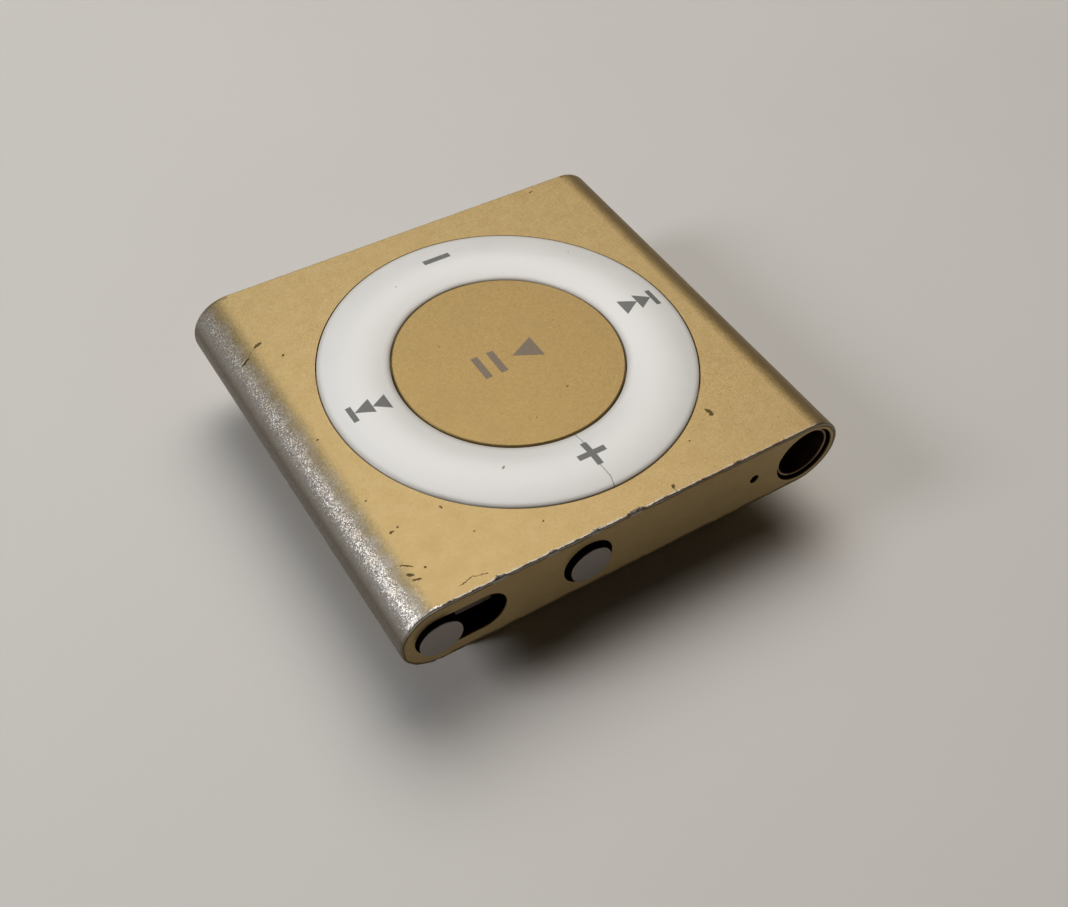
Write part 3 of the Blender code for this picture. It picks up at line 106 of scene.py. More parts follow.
KNOB_LOW, KNOB_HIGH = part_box("switch_knob")
KNOB_X = (KNOB_LOW.x + KNOB_HIGH.x) / 2
KNOB_RADIUS = (KNOB_HIGH.x - KNOB_LOW.x) / 2
SWITCH_TRAVEL = next(j["range_m"][1] for j in frame["joints"] if j["name"] == "switch_slide")
SLOT_RADIUS = KNOB_RADIUS + 0.13 * MM
SLIDER_LOW, SLIDER_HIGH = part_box("switch_slider")
CAP_LOW, CAP_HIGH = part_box("announcement_button")
CAP_X = (CAP_LOW.x + CAP_HIGH.x) / 2
CAP_RADIUS = KNOB_RADIUS
CAP_HOLE = CAP_RADIUS + 0.3 * MM
PIPE_LOW, PIPE_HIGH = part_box("light_pipe")
LAMP_X = (PIPE_LOW.x + PIPE_HIGH.x) / 2
LAMP_RADIUS = (PIPE_HIGH.x - PIPE_LOW.x) / 4
LAMP_HOLE = LAMP_RADIUS + 0.07 * MM

SLEEVE_LOW, SLEEVE_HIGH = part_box("jack_sleeve")
SLEEVE_FLANGE = (SLEEVE_HIGH.x - SLEEVE_LOW.x) / 2
JACK_MOUTH = SLEEVE_FLANGE + CLEAR
JACK_BORE = 1.8 * MM
SLEEVE_RADIUS = JACK_BORE + 0.2 * MM
JACK_LOW, JACK_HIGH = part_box("jack_body")
JACK_RADIUS = (JACK_HIGH.z - JACK_LOW.z) / 2
JACK_HOLE = JACK_RADIUS + CLEAR
JACK_END_WALL = 0.4 * MM

CLIP_LOW, CLIP_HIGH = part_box("clip_plate")
PIN_LOW, PIN_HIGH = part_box("clip_pin")
PIN_X = (PIN_LOW.x + PIN_HIGH.x) / 2
PIN_Z = (PIN_LOW.z + PIN_HIGH.z) / 2
CLIP_TOP = 1.4 * MM


# ---------------------------------------- shapes


def arc(centre, radius, start, end, steps):
    """Points along an arc, both ends included, with angles in degrees."""
    angles = [radians(start + (end - start) * i / steps) for i in range(steps + 1)]
    return [(centre[0] + radius * cos(a), centre[1] + radius * sin(a)) for a in angles]


def rounded_box(low, high, radius, steps):
    """Outline of a rectangle with round corners."""
    left, bottom = low[0] + radius, low[1] + radius
    right, top = high[0] - radius, high[1] - radius
    return (
        arc((right, bottom), radius, -90, 0, steps)
        + arc((right, top), radius, 0, 90, steps)
        + arc((left, top), radius, 90, 180, steps)
        + arc((left, bottom), radius, 180, 270, steps)
    )


def long_round(left, right, radius, steps, flat_steps=1):
    """Outline of a bar with full-round ends about the body's middle height."""
    near, far = left + radius, right - radius
    stations = [far + (near - far) * i / flat_steps for i in range(1, flat_steps)]
    return (
        arc((far, MID_Z), radius, -90, 90, steps)
        + [(x, MID_Z + radius) for x in stations]
        + arc((near, MID_Z), radius, 90, 270, steps)
    )


def prism(outline, low, high, plane="XY"):
    """A bmesh solid: an outline in a plane, pushed from low to high along the third axis."""
    bm = bmesh.new()
    if plane == "XY":
        corners = [bm.verts.new((u, v, low)) for u, v in outline]
        push = Vector((0, 0, high - low))
    else:
        corners = [bm.verts.new((u, low, v)) for u, v in outline]
        push = Vector((0, high - low, 0))
    pushed = bmesh.ops.extrude_face_region(bm, geom=[bm.faces.new(corners)])["geom"]
    moved = [v for v in pushed if isinstance(v, bmesh.types.BMVert)]
    bmesh.ops.translate(bm, verts=moved, vec=push)
    return bm


def block(low, high):
    """A bmesh block between two corners."""
    outline = [(low[0], low[1]), (high[0], low[1]), (high[0], high[1]), (low[0], high[1])]
    return prism(outline, low[2], high[2])


def spun(profile, centre=(0, 0, 0), axis="Z", steps=256, closed=False):
    """A bmesh solid: a profile of (radius, height) points turned about an axis."""
    along = Vector((0, 0, 1)) if axis == "Z" else Vector((0, 1, 0))
    bm = bmesh.new()
    points = [bm.verts.new(Vector((r, 0, 0)) + along * h) for r, h in profile]
    edges = [bm.edges.new(pair) for pair in zip(points, points[1:])]
    if closed:
        edges.append(bm.edges.new((points[-1], points[0])))
    bmesh.ops.spin(
        bm,
        geom=points + edges,
        cent=(0, 0, 0),
        axis=along,
        angle=2 * pi,
        steps=steps,
        use_merge=True,
    )
    bmesh.ops.translate(bm, verts=bm.verts, vec=centre)
    return bm


def bevel(bm, edges, width, segments=2):
    """Rounds edges of a bmesh."""
    bmesh.ops.bevel(
        bm,
        geom=edges,
        offset=width,
        segments=segments,
        profile=0.5,
        affect="EDGES",
        material=-1,
        clamp_overlap=True,
    )


def to_object(name, bm, material=None):
    """Closes up a bmesh and makes it an object at the origin."""
    bmesh.ops.remove_doubles(bm, verts=bm.verts, dist=SAME)
    bmesh.ops.recalc_face_normals(bm, faces=bm.faces)
    mesh = bpy.data.meshes.new(name)
    bm.to_mesh(mesh)
    bm.free()
    made = bpy.data.objects.new(name, mesh)
    bpy.context.scene.collection.objects.link(made)
    if material:
        mesh.materials.append(material)
    return made


def combine(target, shapes, operation="DIFFERENCE"):
    """Cuts bmesh shapes from the target, or joins them on, and keeps the result as its mesh."""
    tools = [to_object(f"tool_{i}", shape) for i, shape in enumerate(shapes)]
    for tool in tools:
        change = target.modifiers.new(tool.name, "BOOLEAN")
        change.operation = operation
        change.object = tool
    shown = target.evaluated_get(bpy.context.evaluated_depsgraph_get())
    mesh = bpy.data.meshes.new_from_object(shown)
    target.modifiers.clear()
    target.data = mesh
    for tool in tools:
        bpy.data.objects.remove(tool)


def shade(piece):
    """Smooth round faces, sharp corners, and truly flat faces where they lie along an axis."""
    mesh = piece.data
    mesh.shade_smooth()
    mesh.set_sharp_from_angle(angle=radians(30))
    for face in mesh.polygons:
        if max(abs(part) for part in face.normal) > 0.99999:
            face.use_smooth = False


def hand_over(piece, body, slot, *nodes):
    """Shades a finished piece and lets it ride on its body in place of its CAD nodes."""
    shade(piece)
    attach(piece, body)
    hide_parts(*nodes)


def edit(piece):
    """A bmesh of a piece's mesh."""
    bm = bmesh.new()
    bm.from_mesh(piece.data)
    return bm


def put_back(piece, bm):
    """Writes an edited bmesh back to its piece."""
    bm.to_mesh(piece.data)
    bm.free()


# ---------------------------------------- materials


def srgb(code):
    """A hex colour as the linear values that shaders take."""
    parts = [int(code[i : i + 2], 16) / 255 for i in (1, 3, 5)]
    return [p / 12.92 if p <= 0.04045 else ((p + 0.055) / 1.055) ** 2.4 for p in parts] + [1.0]


def new_material(name):
    """An empty material, the function that adds nodes to it, and its shader."""
    made = bpy.data.materials.new(name)
    made.use_nodes = True
    return made, partial(add_node, made.node_tree), made.node_tree.nodes["Principled BSDF"]


SMOOTH = {"interpolation_type": "SMOOTHSTEP"}
COLOUR = {"data_type": "RGBA"}


def wire(node, wires):
    """Links or sets inputs by name or number; a node stands for its first output in use."""
    for socket, value in dict(wires).items():
        if isinstance(value, bpy.types.Node):
            value = next(way for way in value.outputs if way.enabled)
        if isinstance(value, bpy.types.NodeSocket):
            node.id_data.links.new(value, node.inputs[socket])
        else:
            node.inputs[socket].default_value = value


def add_node(tree, kind, wires=(), **settings):
    """Adds a node with its settings and links."""
    made = tree.nodes.new("ShaderNode" + kind)
    for name, value in settings.items():
        setattr(made, name, value)
    wire(made, wires)
    return made


def per_mm(size):
    """Noise scale for features of a size in millimetres."""
    return 1 / (size * MM)


# Marks on the top face: place x and y, half length, half width (all mm) and turn in degrees.
DARK_MARKS = [
    (8.45, -10.2, 0.30, 0.15, -70),
    (8.4, -10.5, 0.12, 0.10, 0),
    (2.9, -14.0, 0.17, 0.11, 60),
    (2.85, -14.3, 0.14, 0.03, -80),
    (-9.77, -8.4, 0.14, 0.06, 95),
    (-13.1, -8.6, 0.16, 0.06, 10),
    (-12.6, -8.45, 0.07, 0.06, 0),
    (-13.5, -11.1, 0.40, 0.045, -40),
    (-13.6, -11.75, 0.22, 0.11, -30),
    (-13.45, -12.2, 0.26, 0.07, -20),
    (-12.65, -11.7, 0.08, 0.07, 0),
    (-11.1, -13.7, 0.50, 0.030, 14),
    (-10.2, -13.74, 0.42, 0.022, -15),
    (-15.4, -12.1, 0.20, 0.10, 40),
    (-13.3, -5.8, 0.08, 0.05, 0),
    (-5.2, -12.3, 0.08, 0.06, 0),
    (-9.0, -10.9, 0.08, 0.06, 0),
    (-13.35, 9.15, 0.34, 0.10, 20),
    (-14.55, 8.45, 0.34, 0.09, 15),
    (-13.95, 8.8, 0.45, 0.009, 38),
    (-12.3, 7.5, 0.13, 0.06, 30),
    (-15.1, 9.2, 0.18, 0.05, 30),
    (-13.6, -0.1, 0.08, 0.06, 0),
    (10.4, 13.9, 0.16, 0.05, 10),
    (5.9, -11.6, 0.06, 0.05, 0),
    (12.1, 1.4, 0.07, 0.05, 0),
]
# Crumbled places of the top edge, bare metal, in the same form.
EDGE_CRUMBS = [
    (-9.4, -14.45, 0.55, 0.20, 0),
    (-5.9, -14.45, 0.40, 0.15, 0),
    (-2.9, -14.42, 0.45, 0.15, 0),
    (-0.1, -14.40, 0.60, 0.16, 0),
]
DISC_MARKS = [
    (1.9, -4.0, 0.10, 0.06, 30),
    (-3.4, 3.1, 0.06, 0.04, 0),
    (4.4, 1.6, 0.05, 0.04, 0),
    (-1.2, -5.3, 0.05, 0.04, 0),
]
RING_MARKS = [
    (-5.2, -7.9, 0.16, 0.07, 30),
    (8.9, 6.7, 0.05, 0.04, 0),
    (-3.2, 9.3, 0.05, 0.04, 0),
]


def mark_mask(add, place, marks):
    """One mask of small ellipses with ragged edges, for flecks and scratches seen from above."""
    tatter = add("TexNoise", {"Vector": place, "Scale": per_mm(0.16), "Detail": 3.0})
    tatter = add("VectorMath", {0: tatter.outputs["Color"], 1: (0.5, 0.5, 0.5)}, operation="SUBTRACT")
    tatter = add("VectorMath", {0: tatter, "Scale": 0.22 * MM}, operation="SCALE")
    place = add("VectorMath", {0: place, 1: tatter}, operation="ADD")
    mask = 0.0
    for x, y, length, width, turn in marks:
        local = add(
            "Mapping",
            {
                "Vector": place,
                "Location": (x * MM, y * MM, TOP),
                "Rotation": (0, 0, radians(turn)),
                "Scale": (length * MM, width * MM, 1.0 * MM),
            },
            vector_type="TEXTURE",
        )
        reach = add("VectorMath", {0: local}, operation="LENGTH")
        inside = add("MapRange", {"Value": reach, "From Min": 1.25, "From Max": 0.75}, **SMOOTH)
        mask = add("Math", {0: inside, 1: mask}, operation="MAXIMUM")
    return mask


def grain_facets(add, place, strength):
    """A normal that leans at random from grain to grain, as a blasted surface glints."""
    # Real grains are about 0.05 mm; they are drawn at 0.065 mm to show.
    grains = add("TexVoronoi", {"Vector": place, "Scale": per_mm(0.065)})
    lean = add("VectorMath", {0: grains.outputs["Color"], 1: (0.5, 0.5, 0.5)}, operation="SUBTRACT")
    lean = add("VectorMath", {0: lean, "Scale": strength}, operation="SCALE")
    upright = add("NewGeometry").outputs["Normal"]
    turned = add("VectorMath", {0: upright, 1: lean}, operation="ADD")
    return add("VectorMath", {0: turned}, operation="NORMALIZE")


GOLD_DEEP = "#9A8458"
GOLD_PALE = "#A69269"
BARE_DARK = "#ABA499"
BARE_PALE = "#E2DED7"
# Colour of the grime and painted shade on the bare metal low on the side and on the rim.
SIDE_GRIME_AND_SHADE = "#5C5344"
# Colour of the painted shadow line inside the worn front rim.
PAINTED_EDGE_SHADOW = "#2A1E10"
MARK_DARK = "#332B14"
# Colour of the painted shade inside the ports face's slot and holes.
PAINTED_HOLE_SHADE = "#120B07"


def speckled(add, colour, grit):
    """A colour that varies slightly from dimple to dimple."""
    speck = add("MapRange", {"Value": grit, "To Min": 0.88, "To Max": 1.12})
    return add("Mix", {0: 1.0, 6: colour, 7: speck}, **COLOUR, blend_type="MULTIPLY")


def blasted_gold_aluminium():
    """Housing, cover and clip: bead-blasted aluminium, anodised gold.

    The blast gives the metal a fine matt sparkle. On the round left side and along the edge
    of the ports face the dyed oxide has rubbed off, which leaves bare, scuffed aluminium.
    """
    made, add, shader = new_material("blasted_gold_aluminium")
    place = add("TexCoord").outputs["Object"]
    axes = add("SeparateXYZ", {0: place}).outputs

    # Real blasting grit leaves dimples of about 0.05 mm; they are drawn at 0.13 mm to show.
    grit = add("TexNoise", {"Vector": place, "Scale": per_mm(0.13), "Detail": 2.0})
    blotch = add("TexNoise", {"Vector": place, "Scale": per_mm(1.1), "Detail": 4.0})
    scuff = add("TexNoise", {"Vector": place, "Scale": per_mm(0.28), "Detail": 3.0, "Roughness": 0.7})

    # Distance from the edge between the ports face and the shell's outside.
    side = add("Math", {0: axes["X"]}, operation="ABSOLUTE")
    side = add("Math", {0: side, 1: ROUND_X}, operation="SUBTRACT")
    side = add("Math", {0: side, 1: 0.0}, operation="MAXIMUM")
    height = add("Math", {0: axes["Z"], 1: MID_Z}, operation="SUBTRACT")
    section = add("CombineXYZ", {0: side, 1: height})
    reach = add("VectorMath", {0: section}, operation="LENGTH")
    inset = add("Math", {0: SIDE_RADIUS, 1: reach}, operation="SUBTRACT")
    behind = add("Math", {0: axes["Y"], 1: FRONT}, operation="SUBTRACT")
    corner = add("CombineXYZ", {0: inset, 1: behind})
    rim = add("VectorMath", {0: corner}, operation="LENGTH")
    upper = add("MapRange", {"Value": axes["Z"], "From Min": BOTTOM + 0.2 * MM, "From Max": MID_Z})
    ragged = add("Math", {0: blotch, 1: 0.36 * MM, 2: -0.04 * MM}, operation="MULTIPLY_ADD")
    edge_far = add("Math", {0: rim, 1: ragged}, operation="SUBTRACT")
    edge_wear = add(
        "MapRange", {"Value": edge_far, "From Min": 0.05 * MM, "From Max": -0.04 * MM}, **SMOOTH
    )
    edge_wear = add("Math", {0: edge_wear, 1: upper}, operation="MULTIPLY")
    spared = add(
        "MapRange",
        {"Value": axes["X"], "From Min": -2.0 * MM, "From Max": 6.0 * MM, "To Min": 1.0, "To Max": 0.6},
    )
    edge_wear = add("Math", {0: edge_wear, 1: spared}, operation="MULTIPLY")

    # The left side wears most near the ports face.
    lean = add("Math", {0: axes["Y"], 1: 0.015, 2: axes["X"]}, operation="MULTIPLY_ADD")
    patchy = add("Math", {0: blotch, 1: 1.2 * MM, 2: lean}, operation="MULTIPLY_ADD")
    patchy = add("Math", {0: scuff, 1: 1.1 * MM, 2: patchy}, operation="MULTIPLY_ADD")
    side_wear = add(
        "MapRange", {"Value": patchy, "From Min": -12.5 * MM, "From Max": -14.2 * MM}, **SMOOTH
    )
    outside = add("MapRange", {"Value": behind, "From Min": 0.02 * MM, "From Max": 0.06 * MM})
    side_wear = add("Math", {0: side_wear, 1: outside}, operation="MULTIPLY")
    crumbs = mark_mask(add, place, EDGE_CRUMBS)
    shallow = add("MapRange", {"Value": inset, "From Min": 0.30 * MM, "From Max": 0.20 * MM})
    crumbs = add("Math", {0: crumbs, 1: shallow}, operation="MULTIPLY")
    edge_wear = add("Math", {0: edge_wear, 1: crumbs}, operation="MAXIMUM")
    bare = add("Math", {0: edge_wear, 1: side_wear}, operation="MAXIMUM")

    # Painted shadow: a thin dark line on the ports face, just inside the worn edge, stands for the crumbled edge's
    # shadow.
    painted_edge_shadow = add("MapRange", {"Value": edge_far, "From Min": 0.14 * MM, "From Max": 0.07 * MM}, **SMOOTH)
    on_face = add("MapRange", {"Value": behind, "From Min": 0.06 * MM, "From Max": 0.03 * MM})
    painted_edge_shadow = add("Math", {0: painted_edge_shadow, 1: on_face}, operation="MULTIPLY")
    painted_edge_shadow = add("Math", {0: painted_edge_shadow, 1: bare}, operation="SUBTRACT", use_clamp=True)
    painted_edge_shadow = add("Math", {0: painted_edge_shadow, 1: 0.75}, operation="MULTIPLY")

    gold = add("Mix", {0: blotch, 6: srgb(GOLD_DEEP), 7: srgb(GOLD_PALE)}, **COLOUR)
    metal = add("Mix", {0: scuff, 6: srgb(BARE_DARK), 7: srgb(BARE_PALE)}, **COLOUR)
    # Grime and painted shade darken the bare metal low on the side; painted shade also darkens it on the rim to
    # the right of the round end, dimming that bevel's highlight.
    low_grime_and_shade = add("MapRange", {"Value": axes["Z"], "From Min": 8.1 * MM, "From Max": 6.9 * MM})
    rim_painted_shade = add("MapRange", {"Value": axes["X"], "From Min": -13.6 * MM, "From Max": -12.6 * MM})
    rim_painted_shade = add("Math", {0: rim_painted_shade, 1: 0.62}, operation="MULTIPLY")
    grime_and_shade = add("Math", {0: low_grime_and_shade, 1: rim_painted_shade}, operation="MAXIMUM")
    grime_and_shade = add("Math", {0: grime_and_shade, 1: 0.88}, operation="MULTIPLY")
    metal = add("Mix", {0: grime_and_shade, 6: metal, 7: srgb(SIDE_GRIME_AND_SHADE)}, **COLOUR)
    finish = add("Mix", {0: bare, 6: gold, 7: metal}, **COLOUR)
    finish = add("Mix", {0: painted_edge_shadow, 6: finish, 7: srgb(PAINTED_EDGE_SHADOW)}, **COLOUR)
    finish = speckled(add, finish, grit)
    marks = mark_mask(add, place, DARK_MARKS)
    marks = add("Math", {0: marks, 1: 0.85}, operation="MULTIPLY")
    finish = add("Mix", {0: marks, 6: finish, 7: srgb(MARK_DARK)}, **COLOUR)
    # Inside the slot and holes of the ports face the walls are painted near black: painted shade in the recesses.
    below = add("MapRange", {"Value": inset, "From Min": 0.36 * MM, "From Max": 0.42 * MM})
    deeper = add("MapRange", {"Value": behind, "From Min": 0.06 * MM, "From Max": 0.12 * MM})
    ends = add("Math", {0: behind, 1: 2.0 * MM}, operation="LESS_THAN")
    hole_shade = add("Math", {0: below, 1: deeper}, operation="MULTIPLY")
    hole_shade = add("Math", {0: hole_shade, 1: ends}, operation="MULTIPLY")
    finish = add("Mix", {0: hole_shade, 6: finish, 7: srgb(PAINTED_HOLE_SHADE)}, **COLOUR)

    smooth_gold = add("MapRange", {"Value": grit, "To Min": 0.46, "To Max": 0.56})
    smooth_bare = add("MapRange", {"Value": scuff, "To Min": 0.34, "To Max": 0.50})
    roughness = add("Mix", {0: bare, 2: smooth_gold, 3: smooth_bare})

    pitted = add("Math", {0: scuff, 1: bare}, operation="MULTIPLY")
    relief = add("Math", {0: pitted, 1: 0.4, 2: grit}, operation="MULTIPLY_ADD")
    relief = add("Math", {0: marks, 1: -2.0, 2: relief}, operation="MULTIPLY_ADD")
    glint = add("MapRange", {"Value": bare, "To Min": 0.10, "To Max": 0.33})
    facets = grain_facets(add, place, glint)
    bump = add("Bump", {"Height": relief, "Distance": 0.006 * MM, "Normal": facets})
    wire(shader, {"Base Color": finish, "Roughness": roughness, "Normal": bump, "Metallic": 1.0})
    return made


def blasted_gold_disc():
    """Centre button: the same blasted and anodised aluminium, a little duller from fingers."""
    made, add, shader = new_material("blasted_gold_disc")
    place = add("TexCoord").outputs["Object"]
    # Grit dimples, drawn coarser than life so that they show.
    grit = add("TexNoise", {"Vector": place, "Scale": per_mm(0.12), "Detail": 2.0})
    smear = add("TexNoise", {"Vector": place, "Scale": per_mm(3.0), "Detail": 5.0})
    gold = add("Mix", {0: smear, 6: srgb("#8E784C"), 7: srgb("#9D875B")}, **COLOUR)
    gold = speckled(add, gold, grit)
    marks = mark_mask(add, place, DISC_MARKS)
    gold = add("Mix", {0: marks, 6: gold, 7: srgb("#5B4A2C")}, **COLOUR)
    roughness = add("MapRange", {"Value": smear, "To Min": 0.46, "To Max": 0.58})
    facets = grain_facets(add, place, 0.10)
    bump = add("Bump", {"Height": grit, "Distance": 0.006 * MM, "Normal": facets})
    wire(shader, {"Base Color": gold, "Roughness": roughness, "Normal": bump, "Metallic": 1.0})
    return made


def white_polycarbonate():
    """Control ring: smooth moulded white plastic, glossy, with grime, painted shade near both edges and one
    hairline crack.
    """
    made, add, shader = new_material("white_polycarbonate")
    place = add("TexCoord").outputs["Object"]
    axes = add("SeparateXYZ", {0: place}).outputs
    grime_and_shade = add("TexNoise", {"Vector": place, "Scale": per_mm(2.4), "Detail": 5.0})
    waver = add("TexNoise", {"Vector": place, "Scale": per_mm(1.0), "Detail": 3.0})
    flat = add("CombineXYZ", {0: axes["X"], 1: axes["Y"]})
    reach = add("VectorMath", {0: flat}, operation="LENGTH")
    inner = add(
        "MapRange", {"Value": reach, "From Min": RING_HOLE + 0.5 * MM, "From Max": RING_HOLE}, **SMOOTH
    )
    outer = add(
        "MapRange", {"Value": reach, "From Min": RING_RADIUS - 0.4 * MM, "From Max": RING_RADIUS}, **SMOOTH
    )
    # Near both edges the white darkens, broken up by the grime noise: painted shade in the seams, mixed with
    # grime.
    rims = add("Math", {0: inner, 1: outer}, operation="MAXIMUM")
    edge_shade_and_grime = add("Math", {0: rims, 1: grime_and_shade}, operation="MULTIPLY")
    white = add("Mix", {0: grime_and_shade, 6: srgb("#E4E3DE"), 7: srgb("#EDECE8")}, **COLOUR)
    white = add("Mix", {0: edge_shade_and_grime, 6: white, 7: srgb("#B9B3A4")}, **COLOUR)

    # The crack wanders across the ring beside the plus; it is 0.04 mm wide.
    drift = add("Math", {0: waver, 1: 0.5 * MM, 2: -0.25 * MM}, operation="MULTIPLY_ADD")
    aside = add("Math", {0: axes["X"], 1: drift}, operation="SUBTRACT")
    aside = add("Math", {0: axes["Y"], 1: -0.03, 2: aside}, operation="MULTIPLY_ADD")
    aside = add("Math", {0: aside, 1: 0.28 * MM}, operation="SUBTRACT")
    aside = add("Math", {0: aside}, operation="ABSOLUTE")
    crack = add("MapRange", {"Value": aside, "From Min": 0.045 * MM, "From Max": 0.015 * MM}, **SMOOTH)
    ahead = add("Math", {0: axes["Y"], 1: 0.0}, operation="LESS_THAN")
    crack = add("Math", {0: crack, 1: ahead}, operation="MULTIPLY")
    crack = add("Math", {0: crack, 1: 0.8}, operation="MULTIPLY")
    flecks = mark_mask(add, place, RING_MARKS)
    dark = add("Math", {0: crack, 1: flecks}, operation="MAXIMUM")
    white = add("Mix", {0: dark, 6: white, 7: srgb("#6E675C")}, **COLOUR)
    roughness = add("MapRange", {"Value": grime_and_shade, "To Min": 0.24, "To Max": 0.40})
    relief = add("Math", {0: crack, 1: -1.0, 2: waver}, operation="MULTIPLY_ADD")
    bump = add("Bump", {"Height": relief, "Distance": 0.01 * MM, "Strength": 0.6})
    wire(shader, {"Base Color": white, "Roughness": roughness, "Normal": bump, "IOR": 1.58})
    return made


def grained(name, dark, pale, metallic, rough, grain, depth, ior=None):
    """A material whose colour, gloss and relief vary with one noise of a real grain size.

    The colours are hex values, rough is its lowest and highest roughness, and grain and
    depth are in millimetres.
    """
    made, add, shader = new_material(name)
    place = add("TexCoord").outputs["Object"]
    pattern = add("TexNoise", {"Vector": place, "Scale": per_mm(grain), "Detail": 4.0})
    colour = add("Mix", {0: pattern, 6: srgb(dark), 7: srgb(pale)}, **COLOUR)
    gloss = add("MapRange", {"Value": pattern, "To Min": rough[0], "To Max": rough[1]})
    bump = add("Bump", {"Height": pattern, "Distance": depth * MM})
    wire(shader, {"Base Color": colour, "Roughness": gloss, "Normal": bump, "Metallic": metallic})
    if ior:
        wire(shader, {"IOR": ior})
    return made


def make_materials():
    """Every finish, by a short name."""
    return {
        "gold": blasted_gold_aluminium(),
        "disc": blasted_gold_disc(),
        "white": white_polycarbonate(),
        # Screen-printed grey ink: matt, thin, slightly uneven.
        "ink": grained("grey_printing_ink", "#656662", "#757672", 0.0, (0.45, 0.6), 0.25, 0.002, 1.5),
        # Engraved symbol: the bare, roughened floor of a shallow etch, brown-grey with dirt.
        "etch": grained("etched_aluminium", "#5F5446", "#857868", 0.6, (0.45, 0.65), 0.18, 0.006),
        # Turned steel caps with a satin nickel finish that smears soft highlights.
        "cap": grained("satin_nickel_steel", "#7D7672", "#8F8884", 1.0, (0.38, 0.48), 0.2, 0.003),
        # Acetal slider: slippery warm grey plastic, darkened as painted shade of the slot it sits in.
        "slider": grained("warm_grey_acetal_painted_shade", "#65584B", "#766759", 0.0, (0.4, 0.55), 0.4, 0.004, 1.48),
        # Nickel-plated brass sleeve at the socket's mouth, dulled by plugs.
        "sleeve": grained("worn_nickel_brass", "#6E5642", "#8F7660", 1.0, (0.3, 0.45), 0.3, 0.004),
        # Spring steel, stamped: even grey with faint rolling marks.
        "steel": grained("stamped_spring_steel", "#A9A9AC", "#C4C4C6", 1.0, (0.25, 0.4), 0.35, 0.003),
        # Thin gold plating on the contacts.
        "brass": grained("gold_plated_contact", "#D9B768", "#E8CB85", 1.0, (0.22, 0.32), 0.25, 0.002),
        # Glass-filled nylon: black, matt, fine mould texture.
        "black": grained("black_nylon", "#0C0A09", "#171412", 0.0, (0.45, 0.6), 0.15, 0.004, 1.53),
        # The socket's tube: dark brown-black moulded plastic that picks up dust.
        "tube": grained("dark_brown_nylon", "#2A1A10", "#4A3222", 0.0, (0.35, 0.6), 0.5, 0.006, 1.53),
        # Solder mask over copper: green, glossy, with faint tracks below.
        "board": grained("green_solder_mask", "#0E3B24", "#15502F", 0.0, (0.25, 0.4), 0.6, 0.01, 1.5),
        # Epoxy moulding compound of chip packages: matt black with fine filler.
        "chip": grained(
            "epoxy_moulding_compound", "#1B1B1C", "#262627", 0.0, (0.5, 0.65), 0.12, 0.004, 1.55
        ),
        # Polyimide film: amber and glossy.
        "flex": grained("amber_polyimide_film", "#8A4E14", "#A8641F", 0.0, (0.2, 0.3), 0.8, 0.003, 1.66),
        # Near black on the caps' sides and necks: painted shade of the dark gap round each cap.
        "painted_side_shade": grained("cap_sides_painted_shade", "#030202", "#070605", 0.0, (0.8, 0.95), 0.2, 0.004, 1.15),
        # Foam tape: matt dark grey.
        "tape": grained("acrylic_foam_tape", "#191919", "#222222", 0.0, (0.7, 0.85), 0.1, 0.006, 1.47),
        # Aluminium laminate pouch: grey foil under a clear nylon skin.
        "pouch": grained("aluminium_laminate_pouch", "#8D9096", "#A5A8AD", 0.8, (0.3, 0.45), 0.9, 0.01),
        # Acrylic light pipe, near black as painted shade of the dark hole round it; glossy.
        "pipe": grained("acrylic_painted_hole_shade", "#050403", "#0B0807", 0.0, (0.35, 0.5), 0.3, 0.001, 1.49),
        # Silicone wire insulation.
        "red": grained(
            "red_silicone_insulation", "#9A1A14", "#B3241C", 0.0, (0.45, 0.6), 0.2, 0.003, 1.41
        ),
    }


# ---------------------------------------- housing and cover

RIM = 0.075 * MM
FAR_RIM = 0.07 * MM
HOLE_RIM = 0.05 * MM
COVER_RIM = 0.06 * MM
SCREW_HOLE = 0.48 * MM
RIPPLE = 0.35 * MM  # sizes of the wear's three noises
SWELL = 1.7 * MM
CRUMB = 0.13 * MM

# Dents in the ports face's top edge: place along X, half width (mm) and how much deeper.
EDGE_DENTS = [
    (-12.6, 0.5, 0.9),
    (-10.9, 0.3, 0.8),
    (-9.4, 0.45, 2.8),
    (-7.6, 0.3, 0.9),
    (-5.9, 0.35, 2.0),
    (-4.2, 0.25, 0.8),
    (-2.9, 0.4, 1.7),
    (-0.1, 0.7, 3.0),
    (2.1, 0.3, 0.8),
    (4.7, 0.4, 0.6),
    (7.4, 0.4, 1.5),
    (10.4, 0.4, 0.6),
]


def rim_wear(x, z):
    """How much wider than new the worn front rim is at a place on the shell's outline."""
    ripple = noise.noise(Vector((x / RIPPLE, 0, z / RIPPLE)))
    swell = noise.noise(Vector((x / SWELL, 7, z / SWELL)))
    crumbs = noise.noise(Vector((x / CRUMB, 3, z / CRUMB)))
    wear = 1.0 + 0.35 * ripple + 0.3 * swell
    for place, width, depth in EDGE_DENTS:
        off = abs(x / MM - place) / width
        if z > MID_Z and off < 1:
            wear += depth * (1 - off * off) * (1 + 0.4 * ripple + 0.7 * crumbs)
    if x < -ROUND_X:
        wear += 0.9 + 0.9 * ripple + 0.9 * crumbs
    return max(wear, 0.25)


